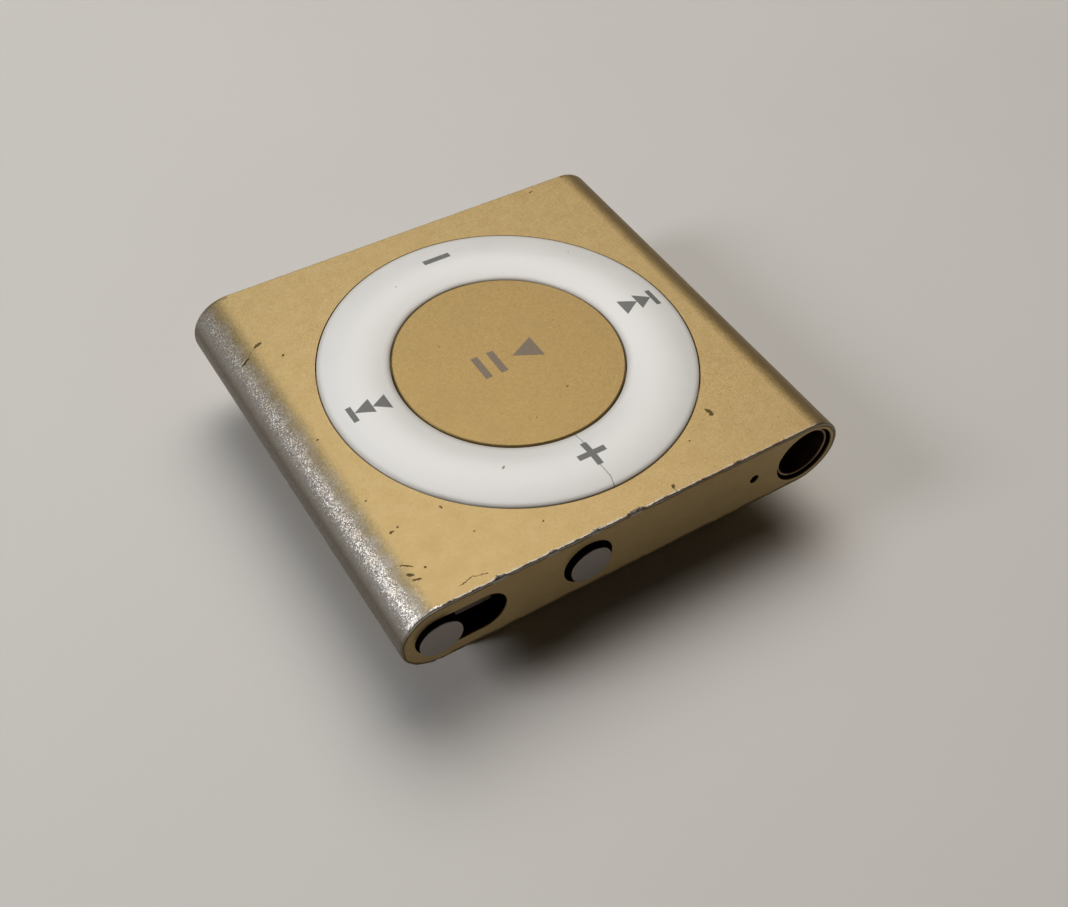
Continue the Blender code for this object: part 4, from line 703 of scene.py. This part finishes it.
def wear_front_rim(bm):
    """Scales the front rim's bevel about the sharp corner, more where it is dented."""
    for v in bm.verts:
        behind = v.co.y - FRONT
        if behind > RIM * 1.01:
            continue
        middle = Vector((max(-ROUND_X, min(ROUND_X, v.co.x)), v.co.y, MID_Z))
        out = v.co - middle
        inset = SIDE_RADIUS - out.length
        scale = rim_wear(v.co.x, v.co.z)
        v.co -= out.normalized() * inset * (scale - 1)
        v.co.y = FRONT + behind * scale


def shell_inset(point):
    """How far inside the shell's outline a point on the ports face lies."""
    beyond = max(abs(point.x) - ROUND_X, 0)
    return SIDE_RADIUS - Vector((beyond, point.z - MID_Z)).length


def hole_rims(bm):
    """Edges where the holes meet the ports face and where the pad's recess meets the top."""
    found = []
    recess = RING_RADIUS + SEAM
    for edge in bm.edges:
        if len(edge.link_faces) != 2 or edge.calc_face_angle() < radians(50):
            continue
        ends = [v.co for v in edge.verts]
        in_front = all(abs(p.y - FRONT) < TINY and shell_inset(p) > 3 * RIM for p in ends)
        in_top = all(abs(p.z - TOP) < TINY and abs(p.xy.length - recess) < 0.01 * MM for p in ends)
        if in_front or in_top:
            found.append(edge)
    return found


def make_housing(finish):
    """The shell, with its worn front rim, recessed top, pocket and ports."""
    outline = long_round(-HALF_WIDTH, HALF_WIDTH, SIDE_RADIUS, 48, flat_steps=280)
    shell = prism(outline, FRONT, FAR, "XZ")
    for y in (FRONT + 0.5 * MM, FAR - 0.4 * MM):
        cut_across(shell, (0, y, 0), (0, 1, 0))
    front_rim = [e for e in shell.edges if all(abs(v.co.y - FRONT) < TINY for v in e.verts)]
    far_rim = [e for e in shell.edges if all(abs(v.co.y - FAR) < TINY for v in e.verts)]
    bevel(shell, far_rim, FAR_RIM)
    bevel(shell, front_rim, RIM, 3)
    wear_front_rim(shell)
    housing = to_object("gold_housing", shell, finish)
    above, below = TOP + OVER, BOTTOM - OVER
    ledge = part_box("back_plate_adhesive")[1].z + CLEAR
    plate = (Vector((SEAM, SEAM)), PLATE_LOW.xy, PLATE_HIGH.xy)
    tools = [
        spun([(0, FLOOR_TOP), (RING_RADIUS + SEAM, FLOOR_TOP), (RING_RADIUS + SEAM, above), (0, above)]),
        prism(rounded_box(POCKET_LOW, POCKET_HIGH, POCKET_CORNER, 12), below, CEILING),
        prism(rounded_box(plate[1] - plate[0], plate[2] + plate[0], PLATE_CORNER, 12), below, ledge),
        spun(rod(STEM_RADIUS + 0.2 * MM, CEILING - OVER, FLOOR_TOP + OVER), steps=64),
    ]
    for x, y in post_places():
        post = rod(POST_RADIUS + 0.15 * MM, CEILING - OVER, FLOOR_TOP + OVER)
        tools.append(spun(post, (x, y, 0), steps=48))
    tools += port_cutters()
    combine(housing, tools)
    bm = edit(housing)
    bmesh.ops.remove_doubles(bm, verts=bm.verts, dist=WELD)
    bevel(bm, hole_rims(bm), HOLE_RIM)
    put_back(housing, bm)
    hand_over(housing, "body", "gold_anodised", "housing")


def cut_across(bm, place, normal):
    """Adds a ring of edges where a plane crosses the mesh."""
    bmesh.ops.bisect_plane(
        bm,
        geom=bm.verts[:] + bm.edges[:] + bm.faces[:],
        dist=SAME,
        plane_co=place,
        plane_no=normal,
    )


def rod(radius, low, high):
    """Profile of a plain round bar."""
    return [(0, low), (radius, low), (radius, high), (0, high)]


def post_places():
    """Centres of the ring's four posts."""
    return [(0, -POST_CIRCLE), (0, POST_CIRCLE), (-POST_CIRCLE, 0), (POST_CIRCLE, 0)]


def port_cutters():
    """Cutters for the switch slot, button hole, lamp hole and headphone socket."""
    front, back = FRONT - OVER, POCKET_LOW.y + EMBED
    slot_left = KNOB_X - SLOT_RADIUS
    slot = long_round(slot_left, KNOB_X + SWITCH_TRAVEL + SLOT_RADIUS, SLOT_RADIUS, 32)
    bay_half = SLOT_RADIUS - 0.18 * MM
    bay_front = SLIDER_LOW.y - CLEAR
    bay_right = SLIDER_HIGH.x + SWITCH_TRAVEL + 0.2 * MM
    step = SLEEVE_HIGH.y + CLEAR
    end = JACK_HIGH.y + CLEAR
    socket = [
        (0, front),
        (JACK_MOUTH, front),
        (JACK_MOUTH, step),
        (JACK_HOLE, step),
        (JACK_HOLE, end),
        (0, end),
    ]
    contacts = [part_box(n) for n in ("jack_contact_sleeve", "jack_contact_tip")]
    reach = 0.4 * MM
    bay_low = (POCKET_HIGH.x - EMBED, contacts[0][0].y - reach, MID_Z - 1.1 * MM)
    bay_high = (ROUND_X - 0.8 * JACK_HOLE, contacts[1][1].y + reach, MID_Z + 0.9 * MM)
    return [
        prism(slot, front, bay_front + CLEAR, "XZ"),
        block(
            (slot_left, bay_front, MID_Z - bay_half),
            (bay_right, POCKET_LOW.y + 1.7 * MM, MID_Z + bay_half),
        ),
        spun(rod(CAP_HOLE, front, back), (CAP_X, 0, MID_Z), "Y", 96),
        spun(rod(LAMP_HOLE, front, back), (LAMP_X, 0, MID_Z), "Y", 48),
        spun(socket, (ROUND_X, 0, MID_Z), "Y", 128),
        block(bay_low, bay_high),
    ]


def make_back_plate(finish):
    """The cover under the pocket, with soft edges and its four screw holes."""
    outline = rounded_box(PLATE_LOW.xy, PLATE_HIGH.xy, PLATE_CORNER, 12)
    bm = prism(outline, PLATE_LOW.z, PLATE_HIGH.z)
    rim = [e for e in bm.edges if all(abs(v.co.z - PLATE_LOW.z) < TINY for v in e.verts)]
    bevel(bm, rim, COVER_RIM)
    plate = to_object("gold_back_plate", bm, finish)
    holes = []
    for i in range(1, 5):
        low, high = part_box(f"bracket_screw_{i}")
        middle = (low + high) / 2
        profile = rod(SCREW_HOLE, PLATE_LOW.z - OVER, PLATE_HIGH.z + OVER)
        holes.append(spun(profile, (middle.x, middle.y, 0), steps=32))
    combine(plate, holes)
    hand_over(plate, "body", "gold_anodised", "back_plate")


# ---------------------------------------- clip

CLIP_CORNER = 3.0 * MM
CLIP_SOFT = 0.3 * MM
CLIP_OPENING = radians(16)
RECESS_DEPTH = 0.1 * MM
RECESS_LEFT = 3.1 * MM
RECESS_RIGHT = 3.7 * MM
RECESS_END = 0.5 * MM
LIP_ROUND = 0.4 * MM
KNUCKLE_RADIUS = 0.9 * MM
KNUCKLE_LENGTH = 2.0 * MM
PIN_HOLE = 0.53 * MM


def cheek(radius, foot):
    """Outline of a clip knuckle: round over the pin, straight down to its foot."""
    return arc((PIN_X, PIN_Z), radius, 0, 180, 24) + [(PIN_X - radius, foot), (PIN_X + radius, foot)]


def make_clip(finish):
    """The clip plate with its lip, tail stop, hinge recess and two knuckles."""
    lip_inset, lip_width, lip_half = 0.3 * MM, 1.0 * MM, 8.5 * MM
    outline = rounded_box(CLIP_LOW.xy, CLIP_HIGH.xy, CLIP_CORNER, 20)
    bm = prism(outline, CLIP_LOW.z, CLIP_TOP)
    rims = [e for e in bm.edges if abs(e.verts[0].co.z - e.verts[1].co.z) < TINY]
    bevel(bm, rims, CLIP_SOFT, 5)
    clip = to_object("gold_clip", bm, finish)
    recess_floor = CLIP_TOP - RECESS_DEPTH
    hinge_half = (PIN_HIGH.y - PIN_LOW.y) / 2 + CLEAR
    recess = block(
        (PIN_X - RECESS_LEFT, -hinge_half - RECESS_END, recess_floor),
        (PIN_X + RECESS_RIGHT, hinge_half + RECESS_END, CLIP_TOP + OVER),
    )
    combine(clip, [recess])
    lip_left = CLIP_LOW.x + lip_inset
    lip = rounded_box(
        (lip_left, CLIP_TOP - LIP_ROUND), (lip_left + lip_width, CLIP_HIGH.z), LIP_ROUND, 8
    )
    stop_right = CLIP_HIGH.x - lip_inset
    lift = BOTTOM - PIN_Z - CLEAR
    stop_top = PIN_Z + (lift - (stop_right - PIN_X) * sin(CLIP_OPENING)) / cos(CLIP_OPENING)
    stop = block(
        (stop_right - lip_width, -lip_half, CLIP_TOP - EMBED), (stop_right, lip_half, stop_top)
    )
    parts = [prism(lip, -lip_half, lip_half, "XZ"), stop]
    for side in (-1, 1):
        ends = sorted((side * hinge_half, side * (hinge_half - KNUCKLE_LENGTH)))
        parts.append(prism(cheek(KNUCKLE_RADIUS, recess_floor - EMBED), *ends, "XZ"))
    combine(clip, parts, "UNION")
    hole = spun(rod(PIN_HOLE, -hinge_half - OVER, hinge_half + OVER), (PIN_X, 0, PIN_Z), "Y", 48)
    combine(clip, [hole])
    hand_over(clip, "clip", "gold_anodised", "clip_plate")


def make_fine_copies(materials):
    """Seen hardware keeps its shape: a welded copy with rounded edges and smooth turns."""
    hardware = {
        "clip_bracket": ("steel", "spring_steel", 0.05),
        "clip_pin": ("steel", "spring_steel", 0.06),
        "jack_contact_sleeve": ("brass", "contact_metal", 0.02),
        "jack_contact_ring": ("brass", "contact_metal", 0.02),
        "jack_contact_tip": ("brass", "contact_metal", 0.02),
        **{f"bracket_screw_{i}": ("steel", "spring_steel", 0.03) for i in range(1, 5)},
    }
    for node, (finish, slot, width) in hardware.items():
        bm = edit(frame["nodes"][node])
        bmesh.ops.remove_doubles(bm, verts=bm.verts, dist=WELD)
        bmesh.ops.dissolve_limit(bm, angle_limit=radians(1), verts=bm.verts, edges=bm.edges)
        corners = [e for e in bm.edges if e.is_manifold and e.calc_face_angle() > radians(40)]
        bevel(bm, corners, width * MM, 2)
        copy = to_object("fine_" + node, bm, materials[finish])
        hand_over(copy, "body", slot, node)


# ---------------------------------------- control pad

RING_EDGE = TOP + 0.05 * MM
RING_CROWN = RING_HIGH.z - RING_EDGE


def crown_height(radius):
    """Height of the ring's convex face at a radius."""
    half = (RING_RADIUS - RING_HOLE) / 2
    bend = (half**2 + RING_CROWN**2) / (2 * RING_CROWN)
    off = radius - (RING_RADIUS - half)
    return RING_EDGE + (bend**2 - off**2) ** 0.5 - (bend - RING_CROWN)


def make_ring(finish):
    """The convex ring with soft edges and its four headed posts."""
    soft = 0.07 * MM
    steps = 28
    width = RING_RADIUS - RING_HOLE - 2 * soft
    radii = [RING_RADIUS - soft - width * i / steps for i in range(steps + 1)]
    profile = [(RING_RADIUS, RING_BOTTOM), (RING_RADIUS, RING_EDGE - soft)]
    profile += [(RING_RADIUS - 0.3 * soft, RING_EDGE - 0.3 * soft)]
    profile += [(r, crown_height(r)) for r in radii]
    profile += [(RING_HOLE + 0.3 * soft, RING_EDGE - 0.3 * soft), (RING_HOLE, RING_EDGE - soft)]
    profile += [(RING_HOLE, RING_BOTTOM)]
    ring = to_object("white_ring", spun(profile, closed=True, steps=360), finish)
    head_low = RING_LOW.z
    head_radius, head_height = POST_HEAD
    posts = []
    for x, y in post_places():
        post = [
            (0, head_low),
            (head_radius, head_low),
            (head_radius, head_low + head_height),
            (POST_RADIUS, head_low + head_height),
            (POST_RADIUS, RING_BOTTOM + EMBED),
            (0, RING_BOTTOM + EMBED),
        ]
        posts.append(spun(post, (x, y, 0), steps=32))
    combine(ring, posts, "UNION")
    hand_over(ring, "ring", "white_plastic", "control_ring")


def make_centre_button(finish):
    """The flat disc with its cut edge and grooved stem."""
    low, top = BUTTON_LOW.z, BUTTON_HIGH.z
    underside = top - 0.55 * MM
    groove_top = CEILING - 0.03 * MM
    groove_low = groove_top - 0.26 * MM
    neck = STEM_RADIUS - 0.3 * MM
    profile = [
        (0, low),
        (STEM_RADIUS, low),
        (STEM_RADIUS, groove_low),
        (neck, groove_low),
        (neck, groove_top),
        (STEM_RADIUS, groove_top),
        (STEM_RADIUS, underside),
        (BUTTON_RADIUS, underside),
    ]
    edge = 0.1 * MM
    profile += arc((BUTTON_RADIUS - edge, top - edge), edge, 0, 90, 4)
    profile += [(0, top)]
    button = to_object("gold_centre_button", spun(profile, steps=256), finish)
    hand_over(button, "centre", "button_gold", "centre_button")


# Symbols, in millimetres: bars as (left, right, low, high), triangles by their corners.
VOLUME_BARS = [(-0.42, 1.58, 10.25, 10.69), (-1.0, 0.94, -9.81, -9.39)]
PLUS_UPRIGHT = (-0.24, 0.18, -10.59, -8.61)
LEFT_BAR = (-11.17, -10.80, -0.25, 1.06)
LEFT_TRIANGLES = [
    ((-10.81, 0.43), (-9.59, -0.16), (-9.59, 1.08)),
    ((-9.60, 0.37), (-8.50, -0.28), (-8.50, 1.02)),
]
RIGHT_BAR = (11.16, 11.53, -0.77, 0.73)
RIGHT_TRIANGLES = [
    ((10.10, 0.08), (8.91, 0.79), (8.91, -0.60)),
    ((11.17, 0.04), (10.08, 0.75), (10.08, -0.66)),
]
PAUSE_BARS = [(-2.22, -1.72, -0.90, 1.10), (-1.07, -0.57, -0.90, 1.10)]
PLAY_TRIANGLE = ((0.30, 0.08), (2.18, -0.88), (2.18, 1.00))
INK_LIFT = 0.006 * MM
INK_DEPTH = 0.03 * MM
INK_CELL = 0.15 * MM


def box_corners(box):
    """The four corners of a bar."""
    left, right, low, high = box
    return ((left, low), (right, low), (right, high), (left, high))


def print_symbols(name, shapes, height, body, finish):
    """Thin printed shapes that follow a surface whose height depends on the radius."""
    bm = bmesh.new()
    for corners in shapes:
        bm.faces.new([bm.verts.new((x * MM, y * MM, 0)) for x, y in corners])
    for axis in (Vector((1, 0, 0)), Vector((0, 1, 0))):
        reaches = [v.co.dot(axis) for v in bm.verts]
        first = int(min(reaches) / INK_CELL) - 1
        last = int(max(reaches) / INK_CELL) + 1
        for i in range(first, last + 1):
            cut_across(bm, axis * i * INK_CELL, axis)
    for v in bm.verts:
        v.co.z = height(v.co.xy.length) + INK_LIFT
    pushed = bmesh.ops.extrude_face_region(bm, geom=bm.faces[:])["geom"]
    moved = [v for v in pushed if isinstance(v, bmesh.types.BMVert)]
    bmesh.ops.translate(bm, verts=moved, vec=(0, 0, -INK_DEPTH))
    printed = to_object(name, bm, finish)
    shade(printed)
    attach(printed, body)


def make_symbols(ink, etch):
    """The volume and skip symbols on the ring, and play and pause on the disc."""
    on_ring = [box_corners(b) for b in VOLUME_BARS]
    left, right, low, high = PLUS_UPRIGHT
    cross_low, cross_high = VOLUME_BARS[1][2], VOLUME_BARS[1][3]
    on_ring += [box_corners((left, right, cross_high, high)), box_corners((left, right, low, cross_low))]
    on_ring += [box_corners(LEFT_BAR), box_corners(RIGHT_BAR), *LEFT_TRIANGLES, *RIGHT_TRIANGLES]
    print_symbols("ring_symbols", on_ring, crown_height, "ring", ink)
    on_disc = [box_corners(b) for b in PAUSE_BARS] + [PLAY_TRIANGLE]
    print_symbols("play_pause_symbol", on_disc, lambda r: BUTTON_HIGH.z, "centre", etch)


# ---------------------------------------- ports face

CAP_SOFT = 0.06 * MM
KNOB_DEPTH = 0.95 * MM
KNOB_NECK = 0.9 * MM
CAP_NECK = 0.6 * MM
CAP_NECK_LENGTH = 0.4 * MM
SLIDER_TOP = MID_Z + 0.6 * MM
SLIDER_DEPTH = 0.35 * MM
SLIDER_SOFT = 0.12 * MM
FINGER_LEFT = KNOB_X + 2.2 * MM
FINGER_WIDTH = 0.7 * MM
FINGER_HALF = 0.3 * MM
PIPE_SET_BACK = 0.3 * MM
SLEEVE_STEP = 0.3 * MM
CONTACT_GAP = 0.2 * MM


def cap_profile(radius, front, back, neck, end):
    """Profile of a round cap with a softened face, and the neck behind it."""
    return (
        [(0, front)]
        + arc((radius - CAP_SOFT, front + CAP_SOFT), CAP_SOFT, -90, 0, 5)
        + [(radius, back), (neck, back), (neck, end), (0, end)]
    )


def paint_side_shade(piece, front, finish):
    """Paints a cap's side and neck near black behind its satin face: painted shade of the gap round the cap."""
    piece.data.materials.append(finish)
    for face in piece.data.polygons:
        if face.center.y > front + 0.05 * MM:
            face.material_index = 1


def make_ports(materials):
    """Knob, slider, button, lamp pipe, and the headphone socket's sleeve and tube."""
    profile = cap_profile(KNOB_RADIUS, KNOB_LOW.y, KNOB_LOW.y + KNOB_DEPTH, KNOB_NECK, KNOB_HIGH.y)
    knob = to_object("switch_cap", spun(profile, (KNOB_X, 0, MID_Z), "Y", 96), materials["cap"])
    paint_side_shade(knob, KNOB_LOW.y, materials["painted_side_shade"])
    hand_over(knob, "switch", "cap_metal", "switch_knob")

    low, high = SLIDER_LOW.copy(), SLIDER_HIGH.copy()
    high.z = SLIDER_TOP
    finger_back = high.y
    high.y = low.y + SLIDER_DEPTH
    bm = block(low, high)
    bevel(bm, bm.edges[:], SLIDER_SOFT)
    slider = to_object("switch_slide", bm, materials["slider"])
    finger = block(
        (FINGER_LEFT, high.y - EMBED, MID_Z - FINGER_HALF),
        (FINGER_LEFT + FINGER_WIDTH, finger_back, MID_Z + FINGER_HALF),
    )
    combine(slider, [finger], "UNION")
    hand_over(slider, "switch", "cap_metal", "switch_slider")

    flange_front = POCKET_LOW.y + CLEAR
    neck_front = flange_front - CAP_NECK_LENGTH
    profile = cap_profile(CAP_RADIUS, CAP_LOW.y, neck_front, CAP_NECK, flange_front + EMBED)
    button = to_object("push_cap", spun(profile, (CAP_X, 0, MID_Z), "Y", 96), materials["cap"])
    flange = block((CAP_LOW.x, flange_front, CAP_LOW.z), (CAP_HIGH.x, CAP_HIGH.y, CAP_HIGH.z))
    combine(button, [flange], "UNION")
    paint_side_shade(button, CAP_LOW.y, materials["painted_side_shade"])
    hand_over(button, "announcement", "cap_metal", "announcement_button")

    pipe_front = PIPE_LOW.y + PIPE_SET_BACK
    profile = (
        [(0, pipe_front)]
        + arc((LAMP_RADIUS / 2, pipe_front + LAMP_RADIUS / 2), LAMP_RADIUS / 2, -90, 0, 6)
        + [
            (LAMP_RADIUS, flange_front),
            (2 * LAMP_RADIUS, flange_front),
            (2 * LAMP_RADIUS, PIPE_HIGH.y),
            (0, PIPE_HIGH.y),
        ]
    )
    pipe = to_object("lamp_pipe", spun(profile, (LAMP_X, 0, MID_Z), "Y", 48), materials["pipe"])
    hand_over(pipe, "body", "clear_plastic", "light_pipe")

    socket = (ROUND_X, 0, MID_Z)
    lip = (SLEEVE_RADIUS - JACK_BORE) / 2
    flange_front = SLEEVE_HIGH.y - SLEEVE_STEP
    profile = arc((JACK_BORE + lip, SLEEVE_LOW.y + lip), lip, 180, 360, 8)
    profile += [
        (SLEEVE_RADIUS, flange_front),
        (SLEEVE_FLANGE, flange_front),
        (SLEEVE_FLANGE, SLEEVE_HIGH.y),
        (JACK_BORE, SLEEVE_HIGH.y),
    ]
    sleeve = to_object(
        "socket_sleeve", spun(profile, socket, "Y", 128, closed=True), materials["sleeve"]
    )
    hand_over(sleeve, "body", "contact_metal", "jack_sleeve")

    bore_end = JACK_HIGH.y - JACK_END_WALL
    profile = [
        (0, bore_end),
        (JACK_BORE, bore_end),
        (JACK_BORE, JACK_LOW.y),
        (JACK_RADIUS, JACK_LOW.y),
        (JACK_RADIUS, JACK_HIGH.y),
        (0, JACK_HIGH.y),
    ]
    tube = to_object("socket_tube", spun(profile, socket, "Y", 128), materials["tube"])
    slots = []
    for node in ("jack_contact_sleeve", "jack_contact_ring", "jack_contact_tip"):
        low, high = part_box(node)
        cut = block(
            (ROUND_X - JACK_RADIUS - OVER, low.y - CONTACT_GAP, MID_Z - 0.45 * MM),
            (ROUND_X - JACK_BORE / 2, high.y + CONTACT_GAP, MID_Z + 0.35 * MM),
        )
        slots.append(cut)
    combine(tube, slots)
    hand_over(tube, "body", "black_plastic", "jack_body")


# ---------------------------------------- carried-over pieces

FINISH_OF_SLOT = {
    "gold_anodised": "gold",
    "button_gold": "disc",
    "white_plastic": "white",
    "cap_metal": "cap",
    "spring_steel": "steel",
    "contact_metal": "brass",
    "black_plastic": "black",
    "circuit_board": "board",
    "chip_resin": "chip",
    "flex_film": "flex",
    "adhesive": "tape",
    "battery_pouch": "pouch",
    "clear_plastic": "pipe",
    "red_insulation": "red",
}


def finish_inner_pieces(materials):
    """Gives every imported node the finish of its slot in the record."""
    for part in frame["record"]["subparts"]:
        mesh = frame["nodes"][part["node"]].data
        mesh.materials.clear()
        mesh.materials.append(materials[FINISH_OF_SLOT[part["material_slot"]]])


# ---------------------------------------- floor, lights and camera

CAMERA_PLACE = Vector((-32.82, -50.88, 68.79)) * MM
CAMERA_AIM = Vector((-2.89, -7.64, 8.70)) * MM
CAMERA_ROLL = -3.357
CAMERA_LENS = 44.62


def make_camera():
    """A hand-held camera, above and left of the ports face, with a small roll."""
    data = bpy.data.cameras.new("camera")
    data.lens = CAMERA_LENS
    data.sensor_width = 36
    data.clip_start = 1 * MM
    ahead = (CAMERA_AIM - CAMERA_PLACE).normalized()
    level = ahead.cross(Vector((0, 0, 1))).normalized()
    upright = level.cross(ahead)
    roll = radians(CAMERA_ROLL)
    up = upright * cos(roll) + level * sin(roll)
    right = level * cos(roll) - upright * sin(roll)
    turn = Matrix((right, up, -ahead)).transposed().to_4x4()
    camera = bpy.data.objects.new("camera", data)
    camera.matrix_world = Matrix.Translation(CAMERA_PLACE) @ turn
    bpy.context.scene.collection.objects.link(camera)
    bpy.context.scene.camera = camera


def make_floor():
    """A plain pale floor with a matt, faintly uneven surface."""
    bm = bmesh.new()
    bmesh.ops.create_grid(bm, x_segments=1, y_segments=1, size=1.5)
    bmesh.ops.translate(bm, verts=bm.verts, vec=(0, 0, cad_box[0].z - 0.005 * MM))
    finish = grained("pale_matt_table", "#D5D2CC", "#DCD9D3", 0.0, (0.55, 0.7), 30.0, 0.01, 1.45)
    floor = to_object("floor", bm, finish)


def add_light(name, place, size, power, colour):
    """A round soft light, placed in millimetres and aimed at the body."""
    data = bpy.data.lights.new(name, "AREA")
    data.shape = "DISK"
    data.size = size * MM
    data.energy = power
    data.color = srgb(colour)[:3]
    light = bpy.data.objects.new(name, data)
    start = Vector(place) * MM
    turn = (-start).to_track_quat("-Z", "Y").to_matrix().to_4x4()
    light.matrix_world = Matrix.Translation(start) @ turn
    bpy.context.scene.collection.objects.link(light)


def make_lights():
    """Soft studio light: a key from the left, a high fill beyond, and a dim room."""
    add_light("key", (-262, 66, 186), 112, 0.37, "#F6F8FF")
    add_light("far_panel", (30, 248, 390), 375, 0.61, "#EEF8FF")
    add_light("overhead", (170, 215, 505), 500, 1.56, "#FFF4EA")
    world = bpy.data.worlds.new("room")
    bpy.context.scene.world = world
    world.use_nodes = True
    room = world.node_tree.nodes["Background"]
    room.inputs["Color"].default_value = srgb("#E2CDB4")
    room.inputs["Strength"].default_value = 0.035
    bpy.context.scene.view_settings.view_transform = "Standard"


# ---------------------------------------- assembly

materials = make_materials()
finish_inner_pieces(materials)
make_housing(materials["gold"])
make_back_plate(materials["gold"])
make_clip(materials["gold"])
make_fine_copies(materials)
make_ring(materials["white"])
make_centre_button(materials["disc"])
make_symbols(materials["ink"], materials["etch"])
make_ports(materials)
make_camera()
make_floor()
make_lights()
